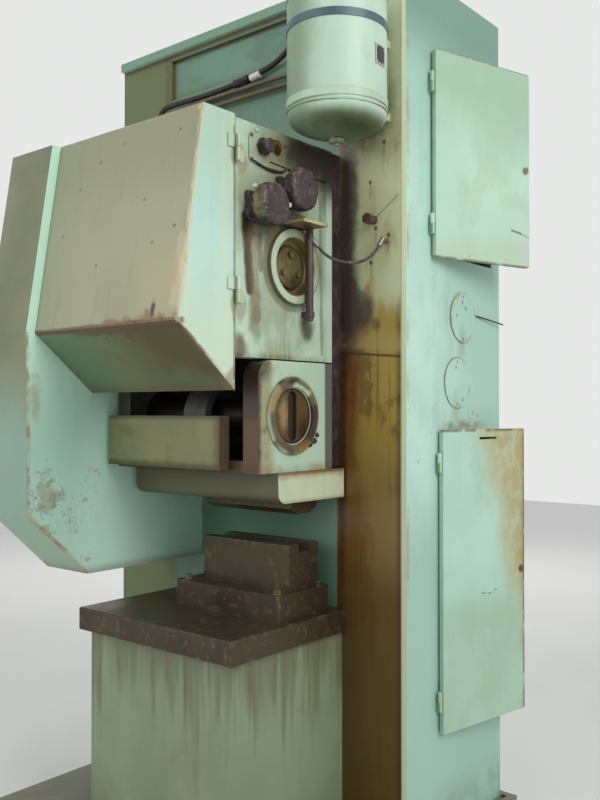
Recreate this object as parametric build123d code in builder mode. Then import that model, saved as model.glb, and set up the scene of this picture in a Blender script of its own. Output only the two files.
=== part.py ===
from build123d import *
import os
from math import acos, atan2, cos, degrees, hypot, radians, sin

# Upright gap-frame crank press. +X is the operator's right, +Y runs into the machine,
# Z = 0 is the floor and Y = 0 is the front plane of the column.
os.makedirs("parts", exist_ok=True)

# Driving dimensions, millimetres: column
column_width = 1500
column_depth = 722
column_height = 3170
column_plate = 25
top_thickness = 35
top_lip = 20
base_thickness = 30
base_side_margin = 50
base_front = -640
base_back_margin = 48
anchor_hole_radius = 16.5
anchor_inset = 45
rib_thickness = 35
recess_left = -430
recess_right = 440
recess_margin = 60
recess_height = 170
recess_depth = 18
recess_sheet = 4
rear_cover_width = 900
rear_cover_height = 1300
rear_cover_middle_z = 1950
cover_sheet = 4
cover_overlap = 25
louvre_count = 6
louvre_length = 260
louvre_width = 12
louvre_pitch = 40
louvre_margin = 90

# Driving dimensions: cabinets and doors on the right side
upper_door_width = 486
upper_door_bottom = 2154
upper_door_drop = 260
upper_door_hinge_y = 186
upper_door_ajar = 17
lower_door_width = 480
lower_door_bottom = 420
lower_door_top = 1527
lower_door_hinge_y = 233
lower_door_ajar = 11
door_sheet = 2.5
door_depth = 18
door_overlap = 18
door_stand_off = 6
door_corner = 9
door_slot_length = 110
door_slot_width = 9
door_slot_drop = 34
door_slot_shift = 20
door_hinge_inset = 120
hinge_barrel_radius = 8
hinge_barrel_height = 36
hinge_pin_radius = 4
hinge_clearance = 0.05
hinge_seam = 0.5
hinge_stand_off = 16
hinge_setback = 10
hinge_tab_thickness = 5
hinge_tab_sink = 1
lock_spindle_radius = 8
lock_clearance = 0.05
lock_head_radius = 13
lock_head_height = 6
lock_cam_length = 24
lock_cam_width = 14
lock_cam_thickness = 3
lock_inset = 22
divider_thickness = 12
divider_z = 1640
cabinet_floor_z = 370
cabinet_ceiling_drop = 210
mounting_plate_thickness = 3
mounting_plate_gap = 12
mounting_plate_margin = 30

# Driving dimensions: head and drive
head_middle = 125
head_width = 730
cheek_thickness = 67
cheek_front = -560
head_bottom = 1770
head_top = 2530
roof_thickness = 20
rail_width = 80
rail_depth = 60
rail_step_width = 25
rail_step_depth = 30
rail_inset = 10
rail_bottom = 1395
crank_y = -280
crank_z = 2087
crank_throw = 30
journal_radius = 60
flywheel_seat_radius = 50
throw_radius = 100
throw_width = 110
running_gap = 0.05
bore_radius = 115
housing_flange_radius = 128.5
housing_flange = 15
port_radius = 98
bush_radius = 80
bush_length = 45
seat_gap = 0.1
end_plate_radius = 72
end_plate_thickness = 8
clutch_radius = 200
clutch_thickness = 24
clutch_gap = 3

# Driving dimensions: connecting rod, ram and tools
pin_z = 1580
pin_end_radius = 95
pin_middle_radius = 55
pin_slot_width = 44
pin_slot_height = 170
pin_slot_depth = 12
pin_ring_radius = 133.5
pin_ring_thickness = 10
rod_bore_clearance = 35
rod_big_wall = 36
rod_small_wall = 30
rod_shank_width = 130
rod_shank_thickness = 60
ram_cheek_front = -453
ram_bottom = 1390
ram_gap_to_head = 5
ram_left_gap = 20
ram_floor = 40
ram_back = 40
ram_corner = 62
ram_tail_top = 1990
slide_gap = 0.3
beam_front = -500
beam_right = 360
beam_bottom = 1400
beam_top = 1580
beam_wall = 47
holder_front = -370
holder_back = -8
holder_bottom = 1286
holder_side = 15
holder_left = -215
holder_corner = 38
punch_left = 30
punch_right = 450
punch_front = -240
punch_back = -100
punch_bottom = 1235

# Driving dimensions: bed
bed_front = -560
bed_side_thickness = 60
bed_apron_thickness = 30
bed_apron_bottom = 160
bolster_bottom = 800
bolster_thickness = 80
bolster_overhang_side = 20
bolster_front = -600
shoe_left = -40
shoe_right = 470
shoe_front = -330
shoe_back = -50
shoe_thickness = 90
die_top = 1130
die_front = -250
die_back = -90
die_slot_width = 60
die_slot_depth = 30

# Driving dimensions: flywheel, belts and motor
flywheel_radius = 430
flywheel_rim = 60
flywheel_rim_width = 164
flywheel_rim_left = -462
flywheel_web = 40
flywheel_hub_radius = 110
flywheel_hub_left = -470
flywheel_hub_right = -292
flywheel_holes = 6
flywheel_hole_radius = 62
flywheel_hole_circle = 240
groove_count = 5
groove_pitch = 25.5
groove_width = 22
groove_root_width = 13.6
groove_depth = 19
belt_thickness = 14
belt_gap = 0.4
pulley_radius = 95
pulley_side = 12
motor_y = 450
motor_shaft_radius = 19
motor_radius = 110
motor_fin = 12
motor_fins = 18
motor_left = -170
motor_length = 340
motor_height = 132
motor_foot_width = 230
motor_foot_thickness = 16
motor_shelf_thickness = 12
motor_shelf_reach = 180

# Driving dimensions: hood and flywheel guard
cover_top = 2540
guard_width = 250
guard_sheet = 3
guard_top_front = -735
guard_knee_front = -840
guard_knee_z = 1870
guard_low_front = -830
guard_low_z = 1236
guard_chin_front = -580
guard_bottom = 1000
guard_port_radius = 132
hood_sheet = 3
hood_top_front = -700
hood_knee_front = -805
hood_knee_z = 1867
hood_chin_z = 1663
hood_gap = 2
hood_hinge_reach = 12
hood_hinge_radius = 9
hood_hinge_length = 80
hood_hinge_zs = (1980, 2430)
hood_leaf_thickness = 4
hood_leaf_width = 36

# Driving dimensions: air receiver and fittings
receiver_x = 620
receiver_y = -200
receiver_radius = 170
receiver_bottom = 2520
receiver_height = 535
receiver_dome = 80
receiver_bead = 3.5
receiver_knuckle = 50
lower_band_rise = 25
upper_band_drop = 95
band_height = 26
band_thickness = 3
bracket_half_width = 82
drain_radius = 26
drain_length = 16
drain_sink = 6
valve_radius = 70
valve_neck_radius = 46
valve_base_size = 96
valve_base_thickness = 22
valve_neck_length = 30
valve_cap_length = 46
valve_front_y = -470
valve_front_z = 2256
valve_rear_y = -322
valve_rear_z = 2331
shelf_front = -350
shelf_back = -222
shelf_reach = 108
shelf_z = 2229
shelf_thickness = 10
shelf_leaf_height = 40
drain_pipe_y = -224
drain_pipe_gap = 2
drain_pipe_radius = 13
drain_pipe_bottom = 1905
drain_pipe_wall = 3
pipe_clamp_lift = 12
hatch_front = -500
hatch_back = -310
hatch_bottom = 2400
hatch_top = 2500
hatch_thickness = 4
hatch_corner = 20
gland_y = -437
gland_z = 2461
gland_radius = 30
gland_length = 38
stop_valve_x = 632
stop_valve_z = 2274
stop_valve_radius = 16
stop_valve_length = 26
knob_radius = 19
knob_length = 20
knob_stem_radius = 5
hose_radius = 5.5
fitting_radius = 8.5
elbow_leg = 22
plug_radius = 95
plug_thickness = 4
plug_places = ((424, 1952), (379, 1702))
front_cable_radius = 11
front_pipe_radius = 9
front_pipe_drops = (95, 60)
front_pipe_bend = 14
front_pipe_left = -350
front_pipe_right = 360
front_pipe_stand_off = 26

# Sizes and places worked out from the driving dimensions
column_right = column_width / 2
column_left = -column_right
column_ceiling = column_height - top_thickness
recess_top = column_height - recess_margin
recess_bottom = recess_top - recess_height
upper_door_top = column_height - upper_door_drop
cabinet_ceiling_z = column_height - cabinet_ceiling_drop
inner_front = column_plate
inner_back = column_depth - column_plate
head_left = head_middle - head_width / 2
head_right = head_middle + head_width / 2
cheek_back = -rail_depth
guard_left = head_left - guard_width
cabinet_left = head_right
cabinet_right = column_right - column_plate
rib_right_inner = head_right - rib_thickness
rib_left_inner = head_left + rib_thickness
ram_left = head_left + ram_left_gap
ram_right = head_right
ram_middle = (ram_left + ram_right) / 2
ram_top = head_bottom - ram_gap_to_head
ram_inner_left = ram_left + cheek_thickness
ram_inner_right = ram_right - cheek_thickness
rail_outer = ram_right - rail_inset - ram_middle
rail_inner = rail_outer - rail_width
throw_left = ram_middle - throw_width / 2
throw_right = ram_middle + throw_width / 2
bolster_top = bolster_bottom + bolster_thickness
shoe_top = bolster_top + shoe_thickness
groove_middle = flywheel_rim_left + flywheel_rim_width / 2
groove_xs = [groove_middle + (i - (groove_count - 1) / 2) * groove_pitch for i in range(groove_count)]
pulley_left = groove_xs[0] - pulley_side
pulley_right = groove_xs[-1] + pulley_side
receiver_top = receiver_bottom + receiver_height
receiver_lower_seam = receiver_bottom + receiver_dome
receiver_upper_seam = receiver_top - receiver_dome
band_zs = (receiver_lower_seam + lower_band_rise, receiver_upper_seam - upper_band_drop)
front_pipe_zs = [recess_bottom - drop for drop in front_pipe_drops]
crank_axis = Axis((0, crank_y, crank_z), (1, 0, 0))
motor_axis = Axis((0, motor_y, crank_z), (1, 0, 0))


def span(u, v, mode=Mode.ADD):
    """A rectangle between two limits on each axis of the sketch."""
    with Locations(((u[0] + u[1]) / 2, (v[0] + v[1]) / 2)):
        Rectangle(u[1] - u[0], v[1] - v[0], mode=mode)


# Base plate with four anchor holes
base_left = column_left - base_side_margin
base_right = column_right + base_side_margin
base_back = column_depth + base_back_margin
anchor_x = base_right - anchor_inset
anchor_ys = (base_front + anchor_inset, base_back - anchor_inset)
with BuildPart() as base_plate:
    with BuildSketch(Plane.XY):
        span((base_left, base_right), (base_front, base_back))
        with Locations(*[(x, y) for x in (-anchor_x, anchor_x) for y in anchor_ys]):
            Circle(anchor_hole_radius, mode=Mode.SUBTRACT)
    extrude(amount=base_thickness)
base_plate.part.label = "base_plate"
export_step(base_plate.part, "parts/base_plate.step")

# Column front plate, open behind the flywheel and behind the recessed panel
window_bottom = crank_z - flywheel_radius - 20
with BuildPart() as column_front_plate:
    with BuildSketch(Plane.XZ):
        span((column_left, column_right), (base_thickness, column_ceiling))
        span((recess_left, recess_right), (recess_bottom, recess_top), Mode.SUBTRACT)
        span((guard_left + 5, head_left - 5), (window_bottom, head_top), Mode.SUBTRACT)
    extrude(amount=-column_plate)
column_front_plate.part.label = "column_front_plate"
export_step(column_front_plate.part, "parts/column_front_plate.step")

# Column rear plate with the service opening under the rear cover
rear_middle = (rear_cover_middle_z - rear_cover_height / 2, rear_cover_middle_z + rear_cover_height / 2)
rear_half = rear_cover_width / 2
with BuildPart() as column_rear_plate:
    with BuildSketch(Plane.XZ.offset(-inner_back)):
        span((column_left, column_right), (base_thickness, column_ceiling))
        span((-rear_half, rear_half), rear_middle, Mode.SUBTRACT)
    extrude(amount=-column_plate)
column_rear_plate.part.label = "column_rear_plate"
export_step(column_rear_plate.part, "parts/column_rear_plate.step")

# Rear cover, a flat sheet with pressed louvre slots
louvre_zs = [rear_middle[0] + louvre_margin + louvre_pitch * i for i in range(louvre_count)]
with BuildPart() as rear_cover:
    with BuildSketch(Plane.XZ.offset(-column_depth)):
        span(
            (-rear_half - cover_overlap, rear_half + cover_overlap),
            (rear_middle[0] - cover_overlap, rear_middle[1] + cover_overlap),
        )
        with Locations(*[(x, z) for x in (-rear_half / 2, rear_half / 2) for z in louvre_zs]):
            SlotOverall(louvre_length, louvre_width, mode=Mode.SUBTRACT)
    extrude(amount=-cover_sheet)
rear_cover.part.label = "rear_cover"
export_step(rear_cover.part, "parts/rear_cover.step")

# Column side plates; the right one has the two cabinet cut-outs
upper_cut = (
    (upper_door_hinge_y + door_overlap, upper_door_hinge_y + upper_door_width - door_overlap),
    (upper_door_bottom + door_overlap, upper_door_top - door_overlap),
)
lower_cut = (
    (lower_door_hinge_y + door_overlap, lower_door_hinge_y + lower_door_width - door_overlap),
    (lower_door_bottom + door_overlap, lower_door_top - door_overlap),
)
with BuildPart() as column_left_plate:
    with BuildSketch(Plane.YZ.offset(column_left)):
        span((inner_front, inner_back), (base_thickness, column_ceiling))
    extrude(amount=column_plate)
column_left_plate.part.label = "column_left_plate"
export_step(column_left_plate.part, "parts/column_left_plate.step")

with BuildPart() as column_right_plate:
    with BuildSketch(Plane.YZ.offset(cabinet_right)):
        span((inner_front, inner_back), (base_thickness, column_ceiling))
        span(*upper_cut, Mode.SUBTRACT)
        span(*lower_cut, Mode.SUBTRACT)
    extrude(amount=column_plate)
column_right_plate.part.label = "column_right_plate"
export_step(column_right_plate.part, "parts/column_right_plate.step")

# Column top plate, with a lip over the front
with BuildPart() as column_top_plate:
    with BuildSketch(Plane.XY.offset(column_ceiling)):
        span((column_left, column_right), (-top_lip, column_depth))
    extrude(amount=top_thickness)
column_top_plate.part.label = "column_top_plate"
export_step(column_top_plate.part, "parts/column_top_plate.step")

# Recessed panel, a shallow tray set into the front plate
with BuildPart() as recess_panel:
    with BuildSketch(Plane.XZ.offset(-recess_depth)):
        span((recess_left, recess_right), (recess_bottom, recess_top))
    extrude(amount=-recess_sheet)
recess_panel.part.label = "recess_panel"
export_step(recess_panel.part, "parts/recess_panel.step")

# Two heavy ribs inside the column, in line with the head cheeks; the left one clears the motor shaft
with BuildPart() as frame_ribs:
    with BuildSketch(Plane.YZ.offset(head_left)):
        span((inner_front, inner_back), (base_thickness, column_ceiling))
        with Locations((motor_y, crank_z)):
            Circle(motor_shaft_radius * 2, mode=Mode.SUBTRACT)
    extrude(amount=rib_thickness)
    with BuildSketch(Plane.YZ.offset(rib_right_inner)):
        span((inner_front, inner_back), (base_thickness, column_ceiling))
    extrude(amount=rib_thickness)
frame_ribs.part.label = "frame_ribs"
export_step(frame_ribs.part, "parts/frame_ribs.step")

# Cabinet floor, divider and ceiling between the right rib and the side plate
with BuildPart() as cabinet_shelves:
    for shelf_bottom in (cabinet_floor_z, divider_z, cabinet_ceiling_z):
        with BuildSketch(Plane.XY.offset(shelf_bottom)):
            span((cabinet_left, cabinet_right), (inner_front, inner_back))
        extrude(amount=divider_thickness)
cabinet_shelves.part.label = "cabinet_shelves"
export_step(cabinet_shelves.part, "parts/cabinet_shelves.step")

# Mounting plates for the switchgear, each on four spacers welded to the rib
plate_left = cabinet_left + mounting_plate_gap
plate_right = plate_left + mounting_plate_thickness
plate_areas = [
    (
        (cut[0][0] + mounting_plate_margin, cut[0][1] - mounting_plate_margin),
        (cut[1][0] + mounting_plate_margin, cut[1][1] - mounting_plate_margin),
    )
    for cut in (upper_cut, lower_cut)
]
with BuildPart() as mounting_plates:
    for ys, zs in plate_areas:
        with BuildSketch(Plane.YZ.offset(plate_left)):
            span(ys, zs)
        extrude(amount=mounting_plate_thickness)
        with BuildSketch(Plane.YZ.offset(cabinet_left)):
            with Locations(*[(y, z) for y in (ys[0] + 20, ys[1] - 20) for z in (zs[0] + 20, zs[1] - 20)]):
                Circle(8)
        extrude(amount=mounting_plate_gap)
mounting_plates.part.label = "mounting_plates"
export_step(mounting_plates.part, "parts/mounting_plates.step")

# Contactors in two rows, a rail of terminals and a row of relays
contactor_size = (64, 84, 72)
contactor_pitch = 78
terminal_size = (300, 44, 38)
terminal_rise = 70
with BuildPart() as switchgear:
    for (ys, zs), row_gap in zip(plate_areas, (230, 300)):
        row_y = (ys[0] + ys[1]) / 2
        for row_z in (zs[1] - 90, zs[1] - 90 - row_gap):
            with BuildSketch(Plane.YZ.offset(plate_right)):
                with Locations((row_y, row_z)):
                    with GridLocations(contactor_pitch, 1, 4, 1):
                        Rectangle(contactor_size[0], contactor_size[1])
            extrude(amount=contactor_size[2] * 0.6)
            with BuildSketch(Plane.YZ.offset(plate_right + contactor_size[2] * 0.6)):
                with Locations((row_y, row_z)):
                    with GridLocations(contactor_pitch, 1, 4, 1):
                        Rectangle(contactor_size[0] * 0.7, contactor_size[1] * 0.55)
            extrude(amount=contactor_size[2] * 0.4)
        with BuildSketch(Plane.YZ.offset(plate_right)):
            with Locations((row_y, zs[0] + terminal_rise)):
                Rectangle(terminal_size[0], terminal_size[1])
        extrude(amount=terminal_size[2])
switchgear.part.label = "switchgear"
export_step(switchgear.part, "parts/switchgear.step")

# Cabinet doors: folded pans on lift-off hinges, standing ajar
hinge_x = column_right + hinge_stand_off
doors = {
    "upper": (upper_door_hinge_y, upper_door_width, upper_door_bottom, upper_door_top, upper_door_ajar),
    "lower": (lower_door_hinge_y, lower_door_width, lower_door_bottom, lower_door_top, lower_door_ajar),
}
hinge_spots = []
for name, (hinge_y, width, bottom, top, ajar) in doors.items():
    turn = radians(ajar)
    axis_y = hinge_y - hinge_setback
    along = Vector(sin(turn), cos(turn), 0)
    outward = Vector(cos(turn), -sin(turn), 0)
    axis_point = Vector(hinge_x, axis_y, 0)
    inner_face = door_stand_off - hinge_stand_off
    face = Plane(
        origin=axis_point + outward * (inner_face + door_depth), x_dir=along, z_dir=outward
    )
    plan = Plane(origin=axis_point, x_dir=along, z_dir=(0, 0, 1))
    middle_u = hinge_setback + width / 2
    knuckle_zs = (bottom + door_hinge_inset, top - door_hinge_inset)
    lock_u = hinge_setback + width - lock_inset
    lock_z = (bottom + top) / 2
    hinge_spots += [(axis_y, z) for z in knuckle_zs]

    with BuildPart() as door:
        with BuildSketch(face):
            with Locations((middle_u, (bottom + top) / 2)):
                RectangleRounded(width, top - bottom, door_corner)
        extrude(amount=-door_depth)
        inner = door.faces().filter_by(lambda f: f.normal_at().dot(outward) < -0.99)
        offset(amount=-door_sheet, openings=inner)
        with BuildSketch(face):
            with Locations((lock_u, lock_z)):
                Circle(lock_spindle_radius + lock_clearance)
            if name == "lower":
                with Locations((middle_u + door_slot_shift, top - door_slot_drop)):
                    SlotOverall(door_slot_length, door_slot_width)
        extrude(amount=-door_sheet * 2, mode=Mode.SUBTRACT)
        for z in knuckle_zs:
            with BuildSketch(plan.offset(z + hinge_seam)):
                Circle(hinge_barrel_radius)
                span((0, hinge_setback + hinge_tab_sink), (-hinge_tab_thickness / 2, hinge_tab_thickness / 2))
            extrude(amount=hinge_barrel_height)
            with BuildSketch(plan.offset(z + hinge_seam)):
                Circle(hinge_pin_radius + hinge_clearance)
            extrude(amount=hinge_barrel_height - 4, mode=Mode.SUBTRACT)
    door.part.label = f"{name}_door"
    export_step(door.part, f"parts/{name}_door.step")

    with BuildPart() as lock:
        with BuildSketch(face):
            with Locations((lock_u, lock_z)):
                Circle(lock_head_radius)
        extrude(amount=lock_head_height)
        with BuildSketch(face.offset(lock_head_height)):
            with Locations((lock_u, lock_z)):
                Rectangle(7, 7)
        extrude(amount=-3, mode=Mode.SUBTRACT)
        with BuildSketch(face):
            with Locations((lock_u, lock_z)):
                Circle(lock_spindle_radius)
        extrude(amount=-door_sheet - 6)
        with BuildSketch(face.offset(-door_sheet - 6)):
            with Locations((lock_u, lock_z - lock_cam_length / 2 + lock_cam_width / 2)):
                Rectangle(lock_cam_width, lock_cam_length)
        extrude(amount=-lock_cam_thickness)
    lock.part.label = f"{name}_door_lock"
    export_step(lock.part, f"parts/{name}_door_lock.step")

# Two round blanking covers on the right side, each with two screw heads
with BuildPart() as side_covers:
    for y, z in plug_places:
        with BuildSketch(Plane.YZ.offset(column_right)):
            with Locations((y, z)):
                Circle(plug_radius)
        extrude(amount=plug_thickness)
        with BuildSketch(Plane.YZ.offset(column_right + plug_thickness)):
            with Locations((y, z)):
                with PolarLocations(plug_radius - 14, 2, start_angle=90):
                    Circle(6)
        extrude(amount=3)
    top_rims = side_covers.faces().filter_by(Axis.X).filter_by_position(
        Axis.X, column_right + plug_thickness - 0.1, column_right + plug_thickness + 0.1
    )
    chamfer(top_rims.edges().filter_by(lambda e: e.radius > plug_radius - 1), length=1.5)
side_covers.part.label = "side_covers"
export_step(side_covers.part, "parts/side_covers.step")

# Head cheeks, bored for the crank bearings
for side, outer, inward in (("left", head_left, 1), ("right", head_right, -1)):
    with BuildPart() as cheek:
        with BuildSketch(Plane.YZ.offset(outer)):
            span((cheek_front, cheek_back), (head_bottom, head_top))
            with Locations((crank_y, crank_z)):
                Circle(bore_radius, mode=Mode.SUBTRACT)
        extrude(amount=inward * cheek_thickness)
    cheek.part.label = f"head_cheek_{side}"
    export_step(cheek.part, f"parts/head_cheek_{side}.step")

# Roof plate between the cheeks
with BuildPart() as head_roof:
    with BuildSketch(Plane.XY.offset(head_top - roof_thickness)):
        span((head_left + cheek_thickness, head_right - cheek_thickness), (cheek_front, cheek_back))
        span((ram_middle - rail_inner, ram_middle + rail_inner), (cheek_back, 0))
    extrude(amount=roof_thickness)
head_roof.part.label = "head_roof"
export_step(head_roof.part, "parts/head_roof.step")

# Slide rails: two stepped bars on the column front that trap the ram's tail
with BuildPart() as slide_rails:
    for hand in (-1, 1):
        bar = sorted(ram_middle + hand * reach for reach in (rail_inner, rail_outer))
        step = sorted(ram_middle + hand * reach for reach in (rail_inner, rail_inner + rail_step_width))
        with BuildSketch(Plane.XY.offset(rail_bottom)):
            span(bar, (-rail_depth, 0))
            span(step, (-rail_step_depth, 0), Mode.SUBTRACT)
        extrude(amount=head_top - rail_bottom)
slide_rails.part.label = "slide_rails"
export_step(slide_rails.part, "parts/slide_rails.step")

# Flanged bearing housings pressed through the cheeks
with BuildPart() as bearing_housings:
    for outer, outward_x in ((head_left, -1), (head_right, 1)):
        inner_x = outer - outward_x * cheek_thickness
        with BuildSketch(Plane.YZ.offset(inner_x)):
            with Locations((crank_y, crank_z)):
                Circle(bore_radius - seat_gap)
        extrude(amount=outward_x * cheek_thickness)
        with BuildSketch(Plane.YZ.offset(outer)):
            with Locations((crank_y, crank_z)):
                Circle(housing_flange_radius)
        extrude(amount=outward_x * housing_flange)
        with BuildSketch(Plane.YZ.offset(inner_x)):
            with Locations((crank_y, crank_z)):
                Circle(bush_radius + seat_gap)
        extrude(amount=outward_x * (cheek_thickness + housing_flange), mode=Mode.SUBTRACT)
        with BuildSketch(Plane.YZ.offset(inner_x + outward_x * bush_length)):
            with Locations((crank_y, crank_z)):
                Circle(port_radius)
        extrude(amount=outward_x * (cheek_thickness + housing_flange), mode=Mode.SUBTRACT)
bearing_housings.part.label = "bearing_housings"
export_step(bearing_housings.part, "parts/bearing_housings.step")

# Bronze crank bushes
with BuildPart() as crank_bushes:
    for outer, outward_x in ((head_left, -1), (head_right, 1)):
        with BuildSketch(Plane.YZ.offset(outer - outward_x * cheek_thickness)):
            with Locations((crank_y, crank_z)):
                Circle(bush_radius)
                Circle(journal_radius + running_gap, mode=Mode.SUBTRACT)
        extrude(amount=outward_x * bush_length)
crank_bushes.part.label = "crank_bushes"
export_step(crank_bushes.part, "parts/crank_bushes.step")

# Crankshaft: flywheel seat, two journals and the throw between them
crank_right_end = head_right - cheek_thickness + bush_length + 4
crank_steps = (
    (flywheel_hub_left - 8, flywheel_hub_right + clutch_gap, flywheel_seat_radius, 0),
    (flywheel_hub_right + clutch_gap, throw_left, journal_radius, 0),
    (throw_left, throw_right, throw_radius, crank_throw),
    (throw_right, crank_right_end, journal_radius, 0),
)
with BuildPart() as crankshaft:
    for start, end, radius, lift in crank_steps:
        with BuildSketch(Plane.YZ.offset(start)):
            with Locations((crank_y, crank_z + lift)):
                Circle(radius)
        extrude(amount=end - start)
crankshaft.part.label = "crankshaft"
export_step(crankshaft.part, "parts/crankshaft.step")

# End plate bolted to the crank, seen through the right port
with BuildPart() as crank_end_plate:
    with BuildSketch(Plane.YZ.offset(crank_right_end)):
        with Locations((crank_y, crank_z)):
            Circle(end_plate_radius)
    extrude(amount=end_plate_thickness)
    with BuildSketch(Plane.YZ.offset(crank_right_end + end_plate_thickness)):
        with Locations((crank_y, crank_z)):
            with PolarLocations(end_plate_radius * 0.6, 3, start_angle=90):
                RegularPolygon(12, 6)
    extrude(amount=9)
crank_end_plate.part.label = "crank_end_plate"
export_step(crank_end_plate.part, "parts/crank_end_plate.step")

# Clutch disc keyed to the crank beside the flywheel
clutch_right = flywheel_hub_right + clutch_gap + clutch_thickness
with BuildPart() as clutch_disc:
    with BuildSketch(Plane.YZ.offset(clutch_right - clutch_thickness)):
        with Locations((crank_y, crank_z)):
            Circle(clutch_radius)
            Circle(journal_radius, mode=Mode.SUBTRACT)
            with PolarLocations(clutch_radius * 0.68, 6):
                Circle(20, mode=Mode.SUBTRACT)
    extrude(amount=clutch_thickness)
clutch_disc.part.label = "clutch_disc"
export_step(clutch_disc.part, "parts/clutch_disc.step")

# Flywheel: hub, holed web and a rim grooved for five belts
web_middle = (flywheel_hub_left + flywheel_hub_right) / 2
rim_inner = flywheel_radius - flywheel_rim
with BuildPart() as flywheel:
    with BuildSketch(Plane.XZ.offset(-crank_y)):
        span(
            (flywheel_hub_left, flywheel_hub_right),
            (crank_z + flywheel_seat_radius + running_gap, crank_z + flywheel_hub_radius),
        )
        span(
            (web_middle - flywheel_web / 2, web_middle + flywheel_web / 2),
            (crank_z + flywheel_hub_radius - 1, crank_z + rim_inner + 1),
        )
        span(
            (flywheel_rim_left, flywheel_rim_left + flywheel_rim_width),
            (crank_z + rim_inner, crank_z + flywheel_radius),
        )
        for x in groove_xs:
            with BuildLine():
                Polyline(
                    (x - groove_width / 2, crank_z + flywheel_radius),
                    (x + groove_width / 2, crank_z + flywheel_radius),
                    (x + groove_root_width / 2, crank_z + flywheel_radius - groove_depth),
                    (x - groove_root_width / 2, crank_z + flywheel_radius - groove_depth),
                    close=True,
                )
            make_face(mode=Mode.SUBTRACT)
    revolve(axis=crank_axis)
    with BuildSketch(Plane.YZ.offset(web_middle - flywheel_web)):
        with Locations((crank_y, crank_z)):
            with PolarLocations(flywheel_hole_circle, flywheel_holes):
                Circle(flywheel_hole_radius)
    extrude(amount=2 * flywheel_web, mode=Mode.SUBTRACT)
flywheel.part.label = "flywheel"
export_step(flywheel.part, "parts/flywheel.step")

# Motor pulley with the same grooves
with BuildPart() as motor_pulley:
    with BuildSketch(Plane.XZ.offset(-motor_y)):
        span((pulley_left, pulley_right), (crank_z + motor_shaft_radius, crank_z + pulley_radius))
        for x in groove_xs:
            with BuildLine():
                Polyline(
                    (x - groove_width / 2, crank_z + pulley_radius),
                    (x + groove_width / 2, crank_z + pulley_radius),
                    (x + groove_root_width / 2, crank_z + pulley_radius - groove_depth),
                    (x - groove_root_width / 2, crank_z + pulley_radius - groove_depth),
                    close=True,
                )
            make_face(mode=Mode.SUBTRACT)
    revolve(axis=motor_axis)
motor_pulley.part.label = "motor_pulley"
export_step(motor_pulley.part, "parts/motor_pulley.step")

# Motor shaft, turning in the motor's end shield
with BuildPart() as motor_shaft:
    with BuildSketch(Plane.YZ.offset(pulley_left)):
        with Locations((motor_y, crank_z)):
            Circle(motor_shaft_radius)
    extrude(amount=motor_left + 60 - pulley_left)
motor_shaft.part.label = "motor_shaft"
export_step(motor_shaft.part, "parts/motor_shaft.step")

# Drive motor: finned barrel, fan cowl, terminal box and feet
motor_right = motor_left + motor_length
foot_bottom = crank_z - motor_height
with BuildPart() as drive_motor:
    with BuildSketch(Plane.YZ.offset(motor_left)):
        with Locations((motor_y, crank_z)):
            Circle(motor_radius)
    extrude(amount=motor_length)
    with BuildSketch(Plane.YZ.offset(motor_left + 40)):
        with Locations((motor_y, crank_z)):
            with PolarLocations(motor_radius + motor_fin / 2 - 2, motor_fins):
                Rectangle(motor_fin, 4)
    extrude(amount=motor_length - 110)
    with BuildSketch(Plane.YZ.offset(motor_right - 60)):
        with Locations((motor_y, crank_z)):
            Circle(motor_radius + motor_fin - 2)
    extrude(amount=60)
    with BuildSketch(Plane.XY.offset(foot_bottom)):
        with Locations(((motor_left + motor_right) / 2, motor_y)):
            Rectangle(motor_length * 0.6, motor_foot_width)
    extrude(amount=motor_foot_thickness)
    with BuildSketch(Plane.XY.offset(foot_bottom)):
        with Locations(((motor_left + motor_right) / 2, motor_y)):
            Rectangle(motor_length * 0.6, motor_radius)
    extrude(amount=motor_height - motor_radius * 0.8)
    with BuildSketch(Plane.XY.offset(crank_z)):
        with Locations(((motor_left + motor_right) / 2 - 20, motor_y)):
            Rectangle(110, 110)
    extrude(amount=motor_radius + 50)
    with BuildSketch(Plane.YZ.offset(motor_left)):
        with Locations((motor_y, crank_z)):
            Circle(motor_shaft_radius + running_gap)
    extrude(amount=62, mode=Mode.SUBTRACT)
drive_motor.part.label = "drive_motor"
export_step(drive_motor.part, "parts/drive_motor.step")

# Shelf between the ribs that carries the motor
with BuildPart() as motor_shelf:
    with BuildSketch(Plane.XY.offset(foot_bottom - motor_shelf_thickness)):
        span((rib_left_inner, rib_right_inner), (motor_y - motor_shelf_reach, inner_back))
    extrude(amount=motor_shelf_thickness)
motor_shelf.part.label = "motor_shelf"
export_step(motor_shelf.part, "parts/motor_shelf.step")

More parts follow.
